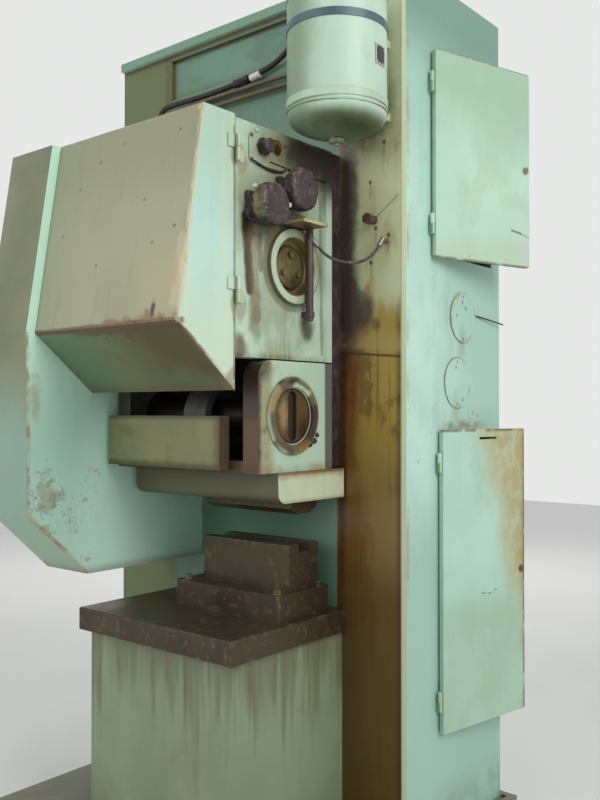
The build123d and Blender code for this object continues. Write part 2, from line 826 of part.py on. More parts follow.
# Five drive belts, each a wedge section swept round the two pitch circles
belt_drop = belt_thickness / 2 + belt_gap
wheel_pitch = flywheel_radius - belt_drop
small_pitch = pulley_radius - belt_drop
lean = acos((wheel_pitch - small_pitch) / (motor_y - crank_y))
wedge = (groove_width - groove_root_width) / groove_depth
belt_outer_width = groove_width - 2 * belt_gap - wedge * belt_gap
belt_inner_width = belt_outer_width - wedge * belt_thickness
with BuildPart() as drive_belts:
    for x in groove_xs:
        with BuildLine(Plane.YZ.offset(x)) as belt_loop:
            wheel_top = (crank_y + wheel_pitch * cos(lean), crank_z + wheel_pitch * sin(lean))
            wheel_low = (crank_y + wheel_pitch * cos(lean), crank_z - wheel_pitch * sin(lean))
            small_top = (motor_y + small_pitch * cos(lean), crank_z + small_pitch * sin(lean))
            small_low = (motor_y + small_pitch * cos(lean), crank_z - small_pitch * sin(lean))
            Line(wheel_top, small_top)
            ThreePointArc(small_top, (motor_y + small_pitch, crank_z), small_low)
            Line(small_low, wheel_low)
            ThreePointArc(wheel_low, (crank_y - wheel_pitch, crank_z), wheel_top)
        belt_start = Plane(
            origin=(x, wheel_top[0], wheel_top[1]), x_dir=(1, 0, 0), z_dir=(0, sin(lean), -cos(lean))
        )
        with BuildSketch(belt_start):
            with BuildLine():
                Polyline(
                    (-belt_outer_width / 2, -belt_thickness / 2),
                    (belt_outer_width / 2, -belt_thickness / 2),
                    (belt_inner_width / 2, belt_thickness / 2),
                    (-belt_inner_width / 2, belt_thickness / 2),
                    close=True,
                )
            make_face()
        sweep(path=belt_loop.wire())
drive_belts.part.label = "drive_belts"
export_step(drive_belts.part, "parts/drive_belts.step")

# Connecting rod: two eyes joined by a waisted shank
big_z = crank_z + crank_throw
big_radius = throw_radius + rod_big_wall
small_bore = pin_middle_radius + rod_bore_clearance
small_radius = small_bore + rod_small_wall
with BuildPart() as connecting_rod:
    with BuildSketch(Plane.YZ.offset(throw_left)):
        with Locations((crank_y, big_z)):
            Circle(big_radius)
        with Locations((crank_y, pin_z)):
            Circle(small_radius)
    extrude(amount=throw_width)
    with BuildSketch(Plane.YZ.offset(ram_middle - rod_shank_thickness / 2)):
        with BuildLine():
            Polyline(
                (crank_y - rod_shank_width / 2, big_z - big_radius * 0.7),
                (crank_y + rod_shank_width / 2, big_z - big_radius * 0.7),
                (crank_y + rod_shank_width / 2 - 12, pin_z + small_radius * 0.7),
                (crank_y - rod_shank_width / 2 + 12, pin_z + small_radius * 0.7),
                close=True,
            )
        make_face()
    extrude(amount=rod_shank_thickness)
    with BuildSketch(Plane.YZ.offset(throw_left)):
        with Locations((crank_y, big_z)):
            Circle(throw_radius + running_gap)
        with Locations((crank_y, pin_z)):
            Circle(small_bore)
    extrude(amount=throw_width, mode=Mode.SUBTRACT)
connecting_rod.part.label = "connecting_rod"
export_step(connecting_rod.part, "parts/connecting_rod.step")

# Ram: two cheeks, floor, back wall, front beam and the tail that rides in the rails
ram_rear = -rail_depth - slide_gap
with BuildPart() as ram_body:
    with BuildSketch(Plane.XY.offset(ram_bottom)):
        span((ram_left, ram_right), (ram_cheek_front, ram_rear))
        span((ram_inner_left, ram_inner_right), (ram_cheek_front, ram_rear - ram_back), Mode.SUBTRACT)
    extrude(amount=ram_top - ram_bottom)
    with BuildSketch(Plane.XY.offset(ram_bottom)):
        span((ram_inner_left, ram_inner_right), (ram_cheek_front, ram_rear))
    extrude(amount=ram_floor)
    front_top = ram_body.edges().filter_by(Axis.X).group_by(Axis.Z)[-1].group_by(Axis.Y)[0]
    fillet(front_top, radius=ram_corner)
    with BuildSketch(Plane.XY.offset(ram_bottom)):
        tail_half = rail_inner - slide_gap
        step_half = rail_inner + rail_step_width - slide_gap
        tail_step = -rail_step_depth + slide_gap
        span((ram_middle - tail_half, ram_middle + tail_half), (ram_rear - ram_back, tail_step))
        span((ram_middle - step_half, ram_middle + step_half), (tail_step, -slide_gap))
    extrude(amount=ram_tail_top - ram_bottom)
    with BuildSketch(Plane.YZ.offset(ram_left)):
        span((beam_front, beam_front + beam_wall), (beam_bottom, beam_top))
    extrude(amount=beam_right - ram_left)
    with BuildSketch(Plane.YZ.offset(ram_left)):
        with Locations((crank_y, pin_z)):
            Circle(pin_end_radius + seat_gap)
    extrude(amount=ram_right - ram_left, mode=Mode.SUBTRACT)
ram_body.part.label = "ram_body"
export_step(ram_body.part, "parts/ram_body.step")

# Wrist pin, stepped, with a slot milled across its right end
with BuildPart() as wrist_pin:
    for start, end, radius in (
        (ram_left, ram_inner_left, pin_end_radius),
        (ram_inner_left, ram_inner_right, pin_middle_radius),
        (ram_inner_right, ram_right, pin_end_radius),
    ):
        with BuildSketch(Plane.YZ.offset(start)):
            with Locations((crank_y, pin_z)):
                Circle(radius)
        extrude(amount=end - start)
    with BuildSketch(Plane.YZ.offset(ram_right)):
        with Locations((crank_y, pin_z)):
            SlotOverall(pin_slot_height, pin_slot_width, rotation=90)
    extrude(amount=-pin_slot_depth, mode=Mode.SUBTRACT)
wrist_pin.part.label = "wrist_pin"
export_step(wrist_pin.part, "parts/wrist_pin.step")

# Retaining ring round the pin's right end
with BuildPart() as pin_ring:
    with BuildSketch(Plane.YZ.offset(ram_right)):
        with Locations((crank_y, pin_z)):
            Circle(pin_ring_radius)
            Circle(pin_end_radius + 4, mode=Mode.SUBTRACT)
    extrude(amount=pin_ring_thickness)
    chamfer(pin_ring.edges().group_by(Axis.X)[-1].sort_by(SortBy.RADIUS)[-1], length=3)
pin_ring.part.label = "pin_ring"
export_step(pin_ring.part, "parts/pin_ring.step")

# Punch holder under the ram, with a rounded lower front edge
with BuildPart() as punch_holder:
    with BuildSketch(Plane.YZ.offset(holder_left)):
        span((holder_front, holder_back), (holder_bottom, ram_bottom))
    extrude(amount=ram_right + holder_side - holder_left)
    fillet(punch_holder.edges().filter_by(Axis.X).group_by(Axis.Z)[0].group_by(Axis.Y)[0], holder_corner)
punch_holder.part.label = "punch_holder"
export_step(punch_holder.part, "parts/punch_holder.step")

# Punch block
with BuildPart() as punch_block:
    with BuildSketch(Plane.YZ.offset(punch_left)):
        with BuildLine():
            Polyline(
                (punch_front, holder_bottom),
                (punch_back, holder_bottom),
                (punch_back, punch_bottom + 22),
                (punch_back - 40, punch_bottom),
                (punch_front + 40, punch_bottom),
                (punch_front, punch_bottom + 22),
                close=True,
            )
        make_face()
    extrude(amount=punch_right - punch_left)
punch_block.part.label = "punch_block"
export_step(punch_block.part, "parts/punch_block.step")

# Bed: two side plates and a front apron on the base plate
with BuildPart() as bed_sides:
    for outer, inward in ((head_left, 1), (head_right, -1)):
        with BuildSketch(Plane.YZ.offset(outer)):
            span((bed_front, 0), (base_thickness, bolster_bottom))
        extrude(amount=inward * bed_side_thickness)
bed_sides.part.label = "bed_sides"
export_step(bed_sides.part, "parts/bed_sides.step")

with BuildPart() as bed_apron:
    with BuildSketch(Plane.XZ.offset(-bed_front)):
        span(
            (head_left + bed_side_thickness, head_right - bed_side_thickness),
            (bed_apron_bottom, bolster_bottom),
        )
    extrude(amount=-bed_apron_thickness)
bed_apron.part.label = "bed_apron"
export_step(bed_apron.part, "parts/bed_apron.step")

# Bolster plate
bolster_left = head_left - bolster_overhang_side
bolster_right = head_right + bolster_overhang_side
with BuildPart() as bolster_plate:
    with BuildSketch(Plane.XY.offset(bolster_bottom)):
        span((bolster_left, bolster_right), (bolster_front, 0))
    extrude(amount=bolster_thickness)
    chamfer(bolster_plate.faces().sort_by(Axis.Z)[-1].outer_wire().edges(), length=4)
bolster_plate.part.label = "bolster_plate"
export_step(bolster_plate.part, "parts/bolster_plate.step")

# Lower die shoe and grooved die block
with BuildPart() as die_shoe:
    with BuildSketch(Plane.XY.offset(bolster_top)):
        span((shoe_left, shoe_right), (shoe_front, shoe_back))
    extrude(amount=shoe_thickness)
    fillet(die_shoe.edges().filter_by(Axis.Z), radius=12)
die_shoe.part.label = "die_shoe"
export_step(die_shoe.part, "parts/die_shoe.step")

die_middle_y = (die_front + die_back) / 2
with BuildPart() as die_block:
    with BuildSketch(Plane.YZ.offset(punch_left)):
        span((die_front, die_back), (shoe_top, die_top))
        span(
            (die_middle_y - die_slot_width / 2, die_middle_y + die_slot_width / 2),
            (die_top - die_slot_depth, die_top),
            Mode.SUBTRACT,
        )
    extrude(amount=punch_right - punch_left)
die_block.part.label = "die_block"
export_step(die_block.part, "parts/die_block.step")

# Flywheel guard: folded sheet box, open towards the column
with BuildPart() as flywheel_guard:
    with BuildSketch(Plane.YZ.offset(guard_left)):
        with BuildLine():
            Polyline(
                (0, cover_top),
                (guard_top_front, cover_top),
                (guard_knee_front, guard_knee_z),
                (guard_low_front, guard_low_z),
                (guard_chin_front, guard_bottom),
                (0, guard_bottom),
                close=True,
            )
        make_face()
    extrude(amount=guard_width)
    offset(amount=-guard_sheet, openings=flywheel_guard.faces().sort_by(Axis.Y)[-1])
    with BuildSketch(Plane.YZ.offset(head_left)):
        with Locations((crank_y, crank_z)):
            Circle(guard_port_radius)
    extrude(amount=-2 * guard_sheet, mode=Mode.SUBTRACT)
flywheel_guard.part.label = "flywheel_guard"
export_step(flywheel_guard.part, "parts/flywheel_guard.step")

# Front hood on a vertical hinge at its right edge
hood_left = head_left + hood_gap
hood_back = cheek_front - hood_gap
hood_axis = (head_right + hood_hinge_reach, cheek_front)
with BuildPart() as front_hood:
    with BuildSketch(Plane.YZ.offset(hood_left)):
        with BuildLine():
            Polyline(
                (hood_back, cover_top),
                (hood_top_front, cover_top),
                (hood_knee_front, hood_knee_z),
                (hood_back, hood_chin_z),
                close=True,
            )
        make_face()
    extrude(amount=head_right - hood_left)
    offset(amount=-hood_sheet, openings=front_hood.faces().sort_by(Axis.Y)[-1])
    for z in hood_hinge_zs:
        with BuildSketch(Plane.XY.offset(z + hinge_seam)):
            with Locations(hood_axis):
                Circle(hood_hinge_radius)
            span(
                (head_right, head_right + hood_leaf_thickness),
                (cheek_front - hood_leaf_width, hood_back),
            )
        extrude(amount=hood_hinge_length / 2)
        with BuildSketch(Plane.XY.offset(z + hinge_seam)):
            with Locations(hood_axis):
                Circle(hinge_pin_radius + hinge_clearance)
        extrude(amount=hood_hinge_length / 2 - 4, mode=Mode.SUBTRACT)
front_hood.part.label = "front_hood"
export_step(front_hood.part, "parts/front_hood.step")

# Fixed halves of the door and hood hinges: barrel, pin and leaf
with BuildPart() as hinge_pins:
    for axis_y, z in hinge_spots:
        with BuildSketch(Plane.XY.offset(z - hinge_barrel_height)):
            with Locations((hinge_x, axis_y)):
                Circle(hinge_barrel_radius)
            span(
                (column_right, hinge_x),
                (axis_y - hinge_tab_thickness / 2, axis_y + hinge_tab_thickness / 2),
            )
        extrude(amount=hinge_barrel_height)
        with BuildSketch(Plane.XY.offset(z)):
            with Locations((hinge_x, axis_y)):
                Circle(hinge_pin_radius)
        extrude(amount=hinge_barrel_height - 6)
    for z in hood_hinge_zs:
        with BuildSketch(Plane.XY.offset(z - hood_hinge_length / 2)):
            with Locations(hood_axis):
                Circle(hood_hinge_radius)
            span(
                (head_right, head_right + hood_leaf_thickness),
                (cheek_front + hood_gap, cheek_front + hood_leaf_width),
            )
        extrude(amount=hood_hinge_length / 2)
        with BuildSketch(Plane.XY.offset(z)):
            with Locations(hood_axis):
                Circle(hinge_pin_radius)
        extrude(amount=hood_hinge_length / 2 - 6)
hinge_pins.part.label = "hinge_pins"
export_step(hinge_pins.part, "parts/hinge_pins.step")

# Air receiver: welded vessel with two domed ends, seam beads and a plugged drain boss
receiver_axis = Axis((receiver_x, receiver_y, 0), (0, 0, 1))
knuckle_x = receiver_x + receiver_radius - receiver_knuckle
knuckle_reach = receiver_radius - receiver_knuckle
crown = (knuckle_reach**2 + receiver_dome**2 - receiver_knuckle**2) / (2 * (receiver_dome - receiver_knuckle))
crown_tilt = degrees(atan2(knuckle_reach, crown - receiver_dome))
with BuildPart() as air_receiver:
    with BuildSketch(Plane.XZ.offset(-receiver_y)):
        with BuildLine():
            Line((receiver_x, receiver_bottom), (receiver_x, receiver_top))
            CenterArc((receiver_x, receiver_bottom + crown), crown, 270, crown_tilt)
            CenterArc((knuckle_x, receiver_lower_seam), receiver_knuckle, 270 + crown_tilt, 90 - crown_tilt)
            Line(
                (receiver_x + receiver_radius, receiver_lower_seam),
                (receiver_x + receiver_radius, receiver_upper_seam),
            )
            CenterArc((knuckle_x, receiver_upper_seam), receiver_knuckle, 0, 90 - crown_tilt)
            CenterArc((receiver_x, receiver_top - crown), crown, 90 - crown_tilt, crown_tilt)
        make_face()
    revolve(axis=receiver_axis)
    for z in (receiver_lower_seam, receiver_upper_seam):
        with BuildSketch(Plane.XZ.offset(-receiver_y)):
            with Locations((receiver_x + receiver_radius, z)):
                Circle(receiver_bead)
        revolve(axis=receiver_axis)
    with BuildSketch(Plane.XY.offset(receiver_bottom - drain_length)):
        with Locations((receiver_x, receiver_y)):
            Circle(drain_radius)
    extrude(amount=drain_length + drain_sink)
    with BuildSketch(Plane.XY.offset(receiver_bottom - drain_length)):
        with Locations((receiver_x, receiver_y)):
            RegularPolygon(11, 6)
    extrude(amount=-10)
air_receiver.part.label = "air_receiver"
export_step(air_receiver.part, "parts/air_receiver.step")

# Saddle brackets between the column and the receiver
with BuildPart() as receiver_brackets:
    for z in band_zs:
        with BuildSketch(Plane.XY.offset(z - band_height / 2)):
            span(
                (receiver_x - bracket_half_width, receiver_x + bracket_half_width),
                (receiver_y + receiver_radius / 2, 0),
            )
            with Locations((receiver_x, receiver_y)):
                Circle(receiver_radius + band_thickness + seat_gap, mode=Mode.SUBTRACT)
        extrude(amount=band_height)
receiver_brackets.part.label = "receiver_brackets"
export_step(receiver_brackets.part, "parts/receiver_brackets.step")

# Clamp bands round the receiver
with BuildPart() as receiver_bands:
    for z in band_zs:
        with BuildSketch(Plane.XY.offset(z - band_height / 2)):
            with Locations((receiver_x, receiver_y)):
                Circle(receiver_radius + band_thickness)
                Circle(receiver_radius, mode=Mode.SUBTRACT)
        extrude(amount=band_height)
receiver_bands.part.label = "receiver_bands"
export_step(receiver_bands.part, "parts/receiver_bands.step")

# Twin air valves on the right cheek: square base, neck and domed cap
cap_start = head_right + valve_base_thickness + valve_neck_length
with BuildPart() as air_valves:
    for place in ((valve_front_y, valve_front_z), (valve_rear_y, valve_rear_z)):
        with BuildSketch(Plane.YZ.offset(head_right)):
            with Locations(place):
                RectangleRounded(valve_base_size, valve_base_size, 10)
        extrude(amount=valve_base_thickness)
        with BuildSketch(Plane.YZ.offset(head_right + valve_base_thickness)):
            with Locations(place):
                Circle(valve_neck_radius)
        extrude(amount=valve_neck_length)
        with BuildSketch(Plane.YZ.offset(cap_start)):
            with Locations(place):
                Circle(valve_radius)
        extrude(amount=valve_cap_length)
    fillet(air_valves.edges().filter_by(GeomType.CIRCLE).group_by(Axis.X)[-1], radius=14)
    cap_rims = air_valves.edges().filter_by(GeomType.CIRCLE).filter_by(lambda e: e.radius > valve_radius - 1)
    fillet(cap_rims.group_by(Axis.X)[0], radius=6)
air_valves.part.label = "air_valves"
export_step(air_valves.part, "parts/air_valves.step")

# Angle shelf under the rear valve
with BuildPart() as valve_shelf:
    with BuildSketch(Plane.XZ.offset(-shelf_front)):
        span((head_right, head_right + shelf_reach), (shelf_z - shelf_thickness, shelf_z))
        span(
            (head_right, head_right + shelf_thickness),
            (shelf_z - shelf_thickness, shelf_z + shelf_leaf_height),
        )
    extrude(amount=shelf_front - shelf_back)
valve_shelf.part.label = "valve_shelf"
export_step(valve_shelf.part, "parts/valve_shelf.step")

# Vertical pipe from the shelf down past the bearing, with a clamp on the cheek
drain_pipe_x = head_right + housing_flange + drain_pipe_gap + drain_pipe_radius
drain_pipe_top = shelf_z - shelf_thickness
with BuildPart() as valve_pipe:
    with BuildSketch(Plane.XY.offset(drain_pipe_bottom)):
        with Locations((drain_pipe_x, drain_pipe_y)):
            Circle(drain_pipe_radius)
    extrude(amount=drain_pipe_top - drain_pipe_bottom)
    with BuildSketch(Plane.XY.offset(drain_pipe_bottom + pipe_clamp_lift)):
        with Locations((drain_pipe_x, drain_pipe_y)):
            Circle(drain_pipe_radius + 4)
        span((head_right, drain_pipe_x), (drain_pipe_y - 9, drain_pipe_y + 9))
    extrude(amount=20)
    with BuildSketch(Plane.XY.offset(drain_pipe_bottom)):
        with Locations((drain_pipe_x, drain_pipe_y)):
            Circle(drain_pipe_radius - drain_pipe_wall)
    extrude(amount=drain_pipe_top - drain_pipe_bottom, mode=Mode.SUBTRACT)
valve_pipe.part.label = "valve_pipe"
export_step(valve_pipe.part, "parts/valve_pipe.step")

# Small rounded hatch plate on the cheek, with a capped cable gland
with BuildPart() as cheek_hatch:
    with BuildSketch(Plane.YZ.offset(head_right)):
        with Locations(((hatch_front + hatch_back) / 2, (hatch_bottom + hatch_top) / 2)):
            RectangleRounded(hatch_back - hatch_front, hatch_top - hatch_bottom, hatch_corner)
    extrude(amount=hatch_thickness)
cheek_hatch.part.label = "cheek_hatch"
export_step(cheek_hatch.part, "parts/cheek_hatch.step")

gland_base = head_right + hatch_thickness
with BuildPart() as cable_gland:
    with BuildSketch(Plane.YZ.offset(gland_base)):
        with Locations((gland_y, gland_z)):
            RegularPolygon(gland_radius, 6)
    extrude(amount=gland_length * 0.4)
    with BuildSketch(Plane.YZ.offset(gland_base + gland_length * 0.4)):
        with Locations((gland_y, gland_z)):
            Circle(gland_radius * 0.8)
    extrude(amount=gland_length * 0.6)
    fillet(cable_gland.edges().filter_by(GeomType.CIRCLE).group_by(Axis.X)[-1], radius=4)
cable_gland.part.label = "cable_gland"
export_step(cable_gland.part, "parts/cable_gland.step")

# Stop valve on the column front, with its turning knob
with BuildPart() as stop_valve:
    with BuildSketch(Plane.XZ):
        with Locations((stop_valve_x, stop_valve_z)):
            Circle(stop_valve_radius)
            Circle(knob_stem_radius + running_gap, mode=Mode.SUBTRACT)
    extrude(amount=stop_valve_length)
stop_valve.part.label = "stop_valve"
export_step(stop_valve.part, "parts/stop_valve.step")

with BuildPart() as stop_valve_knob:
    with BuildSketch(Plane.XZ.offset(4)):
        with Locations((stop_valve_x, stop_valve_z)):
            Circle(knob_stem_radius)
    extrude(amount=stop_valve_length)
    with BuildSketch(Plane.XZ.offset(stop_valve_length + 1)):
        with Locations((stop_valve_x, stop_valve_z)):
            Circle(knob_radius)
            with PolarLocations(knob_radius + 2, 6):
                Circle(5, mode=Mode.SUBTRACT)
    extrude(amount=knob_length)
stop_valve_knob.part.label = "stop_valve_knob"
export_step(stop_valve_knob.part, "parts/stop_valve_knob.step")

# Air hose hanging between the drain pipe and the column front
hose_route = [
    (541, -203, 2162),
    (554, -190, 2140),
    (574, -169, 2121),
    (601, -141, 2109),
    (629, -111, 2108),
    (654, -82, 2119),
    (672, -56, 2142),
    (682, -40, 2173),
]


def bend_radii(route):
    """The arc radius at each corner of a route, as large as its two runs allow."""
    radii = []
    for a, b, c in zip(route, route[1:], route[2:]):
        first = Vector(*b) - Vector(*a)
        second = Vector(*c) - Vector(*b)
        half_turn = radians(first.get_angle(second)) / 2
        shorter = min(first.length, second.length)
        radii.append(0.45 * shorter * cos(half_turn) / sin(half_turn))
    return radii


hose_radii = bend_radii(hose_route)
print("hose bend radii", [round(r) for r in hose_radii])
with BuildPart() as air_hose:
    with BuildLine() as hose_line:
        FilletPolyline(*hose_route, radius=hose_radii)
    hose_start = Vector(*hose_route[1]) - Vector(*hose_route[0])
    with BuildSketch(Plane(origin=hose_route[0], z_dir=hose_start)):
        Circle(hose_radius)
    sweep()
print("hose length", round(hose_line.wire().length, 1), "volume", round(air_hose.part.volume))
air_hose.part.label = "air_hose"
export_step(air_hose.part, "parts/air_hose.step")

# Hose fittings: a tail seated on the pipe and an elbow on the column
hose_end = Vector(*hose_route[-1]) - Vector(*hose_route[-2])
elbow_corner = Vector(*hose_route[-1]) + hose_end.normalized() * elbow_leg
tail_reach = hypot(hose_route[0][0] - drain_pipe_x, hose_route[0][1] - drain_pipe_y)
tail_length = tail_reach * hose_start.length / hypot(hose_start.X, hose_start.Y)
with BuildPart() as hose_fittings:
    with BuildSketch(Plane(origin=hose_route[0], z_dir=-hose_start)):
        Circle(fitting_radius)
    extrude(amount=tail_length)
    with BuildSketch(Plane.XY.offset(drain_pipe_bottom)):
        with Locations((drain_pipe_x, drain_pipe_y)):
            Circle(drain_pipe_radius)
    extrude(amount=drain_pipe_top + tail_length - drain_pipe_bottom, mode=Mode.SUBTRACT)
    with BuildSketch(Plane(origin=hose_route[-1], z_dir=hose_end)):
        Circle(fitting_radius)
    extrude(amount=elbow_leg + fitting_radius)
    with BuildSketch(Plane.XZ):
        with Locations((elbow_corner.X, elbow_corner.Z)):
            Circle(fitting_radius)
    extrude(amount=-elbow_corner.Y)
hose_fittings.part.label = "hose_fittings"
export_step(hose_fittings.part, "parts/hose_fittings.step")

# Supply cable held along the front of the column, from gland to gland
front_cable_route = [
    (-470, 0, 2868),
    (-470, -34, 2868),
    (-430, -44, 2893),
    (-330, -30, 2903),
    (-200, -24, 2902),
    (-60, -23, 2907),
    (80, -24, 2919),
    (170, -24, 2934),
    (235, -25, 2962),
    (290, -30, 2998),
    (350, -36, 3020),
    (395, -32, 3024),
    (395, recess_depth - seat_gap, 3024),
]
with BuildPart() as front_cable:
    with BuildLine():
        FilletPolyline(*front_cable_route, radius=bend_radii(front_cable_route))
    with BuildSketch(Plane.XZ):
        with Locations((front_cable_route[0][0], front_cable_route[0][2])):
            Circle(front_cable_radius)
    sweep()
front_cable.part.label = "front_cable"
export_step(front_cable.part, "parts/front_cable.step")

# Two air pipes under the cable, bent into the column at both ends
with BuildPart() as front_pipes:
    for z in front_pipe_zs:
        with BuildLine():
            FilletPolyline(
                (front_pipe_left, 0, z),
                (front_pipe_left, -front_pipe_stand_off, z),
                (front_pipe_right, -front_pipe_stand_off, z),
                (front_pipe_right, 0, z),
                radius=front_pipe_bend,
            )
        with BuildSketch(Plane.XZ):
            with Locations((front_pipe_left, z)):
                Circle(front_pipe_radius)
        sweep()
front_pipes.part.label = "front_pipes"
export_step(front_pipes.part, "parts/front_pipes.step")
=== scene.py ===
"""Dresses the cold forging press: enamel, oil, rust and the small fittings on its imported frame.

Metres, in the frame of the part: +X is the operator's right, +Y runs into the machine, Z = 0 is
the floor. Every piece is made at its own place, with its object at the origin.
"""

import math

import bmesh
import bpy
from mathutils import Matrix, Vector, noise


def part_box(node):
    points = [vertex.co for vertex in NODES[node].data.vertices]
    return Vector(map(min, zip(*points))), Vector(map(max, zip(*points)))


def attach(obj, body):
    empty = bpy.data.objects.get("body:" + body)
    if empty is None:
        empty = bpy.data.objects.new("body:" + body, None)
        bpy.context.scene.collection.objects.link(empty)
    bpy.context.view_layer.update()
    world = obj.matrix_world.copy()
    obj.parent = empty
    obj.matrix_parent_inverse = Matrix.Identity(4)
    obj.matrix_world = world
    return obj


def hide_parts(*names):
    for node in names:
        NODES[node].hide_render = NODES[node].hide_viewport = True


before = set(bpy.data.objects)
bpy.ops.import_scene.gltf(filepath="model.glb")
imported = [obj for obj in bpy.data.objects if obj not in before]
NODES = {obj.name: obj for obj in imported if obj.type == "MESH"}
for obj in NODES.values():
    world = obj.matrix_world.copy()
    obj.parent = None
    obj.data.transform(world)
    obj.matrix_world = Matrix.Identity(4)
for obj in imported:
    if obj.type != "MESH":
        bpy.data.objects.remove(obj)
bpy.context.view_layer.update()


def middle(name, axis):
    """The middle of a node along one axis."""
    low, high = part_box(name)
    return (low[axis] + high[axis]) / 2


# Places on the press that several finishes and fittings share
COLUMN_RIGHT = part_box("column_right_plate")[1].x
CHEEK_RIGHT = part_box("head_cheek_right")[1].x
HEAD_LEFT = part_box("head_cheek_left")[0].x
CRANK_Y = middle("flywheel", 1)
CRANK_Z = middle("flywheel", 2)
PIN_Z = middle("pin_ring", 2)
RAM_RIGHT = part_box("pin_ring")[0].x
GUARD_LOW_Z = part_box("flywheel_guard")[0].z
HOOD_TOP_Y = -0.700
HOOD_TOP_Z = 2.540
HOOD_KNEE_Y = -0.805
HOOD_KNEE_Z = 1.867
HOOD_REAR_Y = -0.566
HOOD_LOW_Z = 1.668
SIDE_COVER_PLACES = ((0.424, 1.952), (0.379, 1.702))
HOOD_DENTS = (
    (0.009, 2.436), (0.127, 2.479), (0.399, 2.472), (0.267, 2.267), (0.425, 2.161), (-0.085, 2.358),
    (0.330, 2.120), (0.060, 2.075), (-0.150, 2.200),
)

# Camera, lamps, backdrop and floor
CAMERA_PLACE = Vector((2.424, -2.567, 1.60))
CAMERA_AHEAD = Vector((-0.639, 0.769, 0.01136))
SENSOR_MM = 36
LENS_MM = 39.6
SIGHT = 60

# Each lamp's name, place, the point it lights, its size, watts and tint
LAMPS = (
    ("window_side", (5.6, -1.2, 4.6), (0.3, 0.1, 1.7), 3.2, 175, (1.0, 0.99, 0.96)),
    ("hall_front", (-1.4, -6.0, 3.6), (0.0, -0.2, 1.8), 3.0, 100, (1.0, 0.98, 0.94)),
    ("hall_rear", (-3.5, 4.5, 4.2), (0.0, 0.5, 1.6), 3.0, 110, (0.97, 0.99, 1.0)),
)

SKY_TINT = (0.96, 0.98, 1.0, 1)
SKY_STRENGTH = 0.60
BACKDROP_TINT = (0.80, 0.81, 0.80, 1)
BACKDROP_RAYS = ("Is Camera Ray", "Is Glossy Ray", "Is Transmission Ray")
FLOOR_HALF = 12


def add_node(tree, kind, settings, inputs, output=0):
    """Adds a node to a tree: its settings, then its inputs as values, sockets or lists of sockets.

    It gives one of the outputs, by number or name, and None where the node has none.
    """
    made = tree.nodes.new(kind)
    for key, value in settings.items():
        setattr(made, key, value)
    for key, value in inputs.items():
        for item in value if isinstance(value, list) else [value]:
            item = getattr(item, "socket", item)
            if isinstance(item, bpy.types.NodeSocket):
                tree.links.new(item, made.inputs[key])
            else:
                made.inputs[key].default_value = item
    return None if output is None else made.outputs[output]


def set_camera():
    """The camera, at standing height to the right of the press."""
    lens = bpy.data.cameras.new("camera")
    lens.sensor_fit = "VERTICAL"
    lens.sensor_height = SENSOR_MM
    lens.lens = LENS_MM
    lens.clip_end = SIGHT
    camera = bpy.data.objects.new("camera", lens)
    camera.location = CAMERA_PLACE
    camera.rotation_euler = CAMERA_AHEAD.to_track_quat("-Z", "Y").to_euler()
    bpy.context.scene.collection.objects.link(camera)
    bpy.context.scene.camera = camera


def set_lamp(name, place, aim, size, watts, tint):
    """A large square lamp that is turned to the point it lights."""
    lamp = bpy.data.lights.new(name, "AREA")
    lamp.shape = "SQUARE"
    lamp.size = size
    lamp.energy = watts
    lamp.color = tint
    holder = bpy.data.objects.new(name, lamp)
    holder.location = place
    holder.rotation_euler = (Vector(aim) - Vector(place)).to_track_quat("-Z", "Y").to_euler()
    bpy.context.scene.collection.objects.link(holder)


def set_surroundings():
    """Even sky light, with a pale backdrop that the camera, gloss and glass see."""
    world = bpy.data.worlds.new("surroundings")
    world.use_nodes = True
    tree = world.node_tree
    tree.nodes.clear()
    rays = [add_node(tree, "ShaderNodeLightPath", {}, {}, ray) for ray in BACKDROP_RAYS]
    either = add_node(tree, "ShaderNodeMath", {"operation": "MAXIMUM"}, {0: rays[0], 1: rays[1]})
    shown = add_node(tree, "ShaderNodeMath", {"operation": "MAXIMUM"}, {0: either, 1: rays[2]})
    sky = add_node(tree, "ShaderNodeBackground", {}, {"Color": SKY_TINT, "Strength": SKY_STRENGTH})
    backdrop = add_node(tree, "ShaderNodeBackground", {}, {"Color": BACKDROP_TINT})
    blend = add_node(tree, "ShaderNodeMixShader", {}, {0: shown, 1: sky, 2: backdrop})
    add_node(tree, "ShaderNodeOutputWorld", {}, {"Surface": blend}, None)
    bpy.context.scene.world = world


bpy.context.scene.view_settings.view_transform = "Standard"
set_camera()
set_surroundings()
for lamp in LAMPS:
    set_lamp(*lamp)


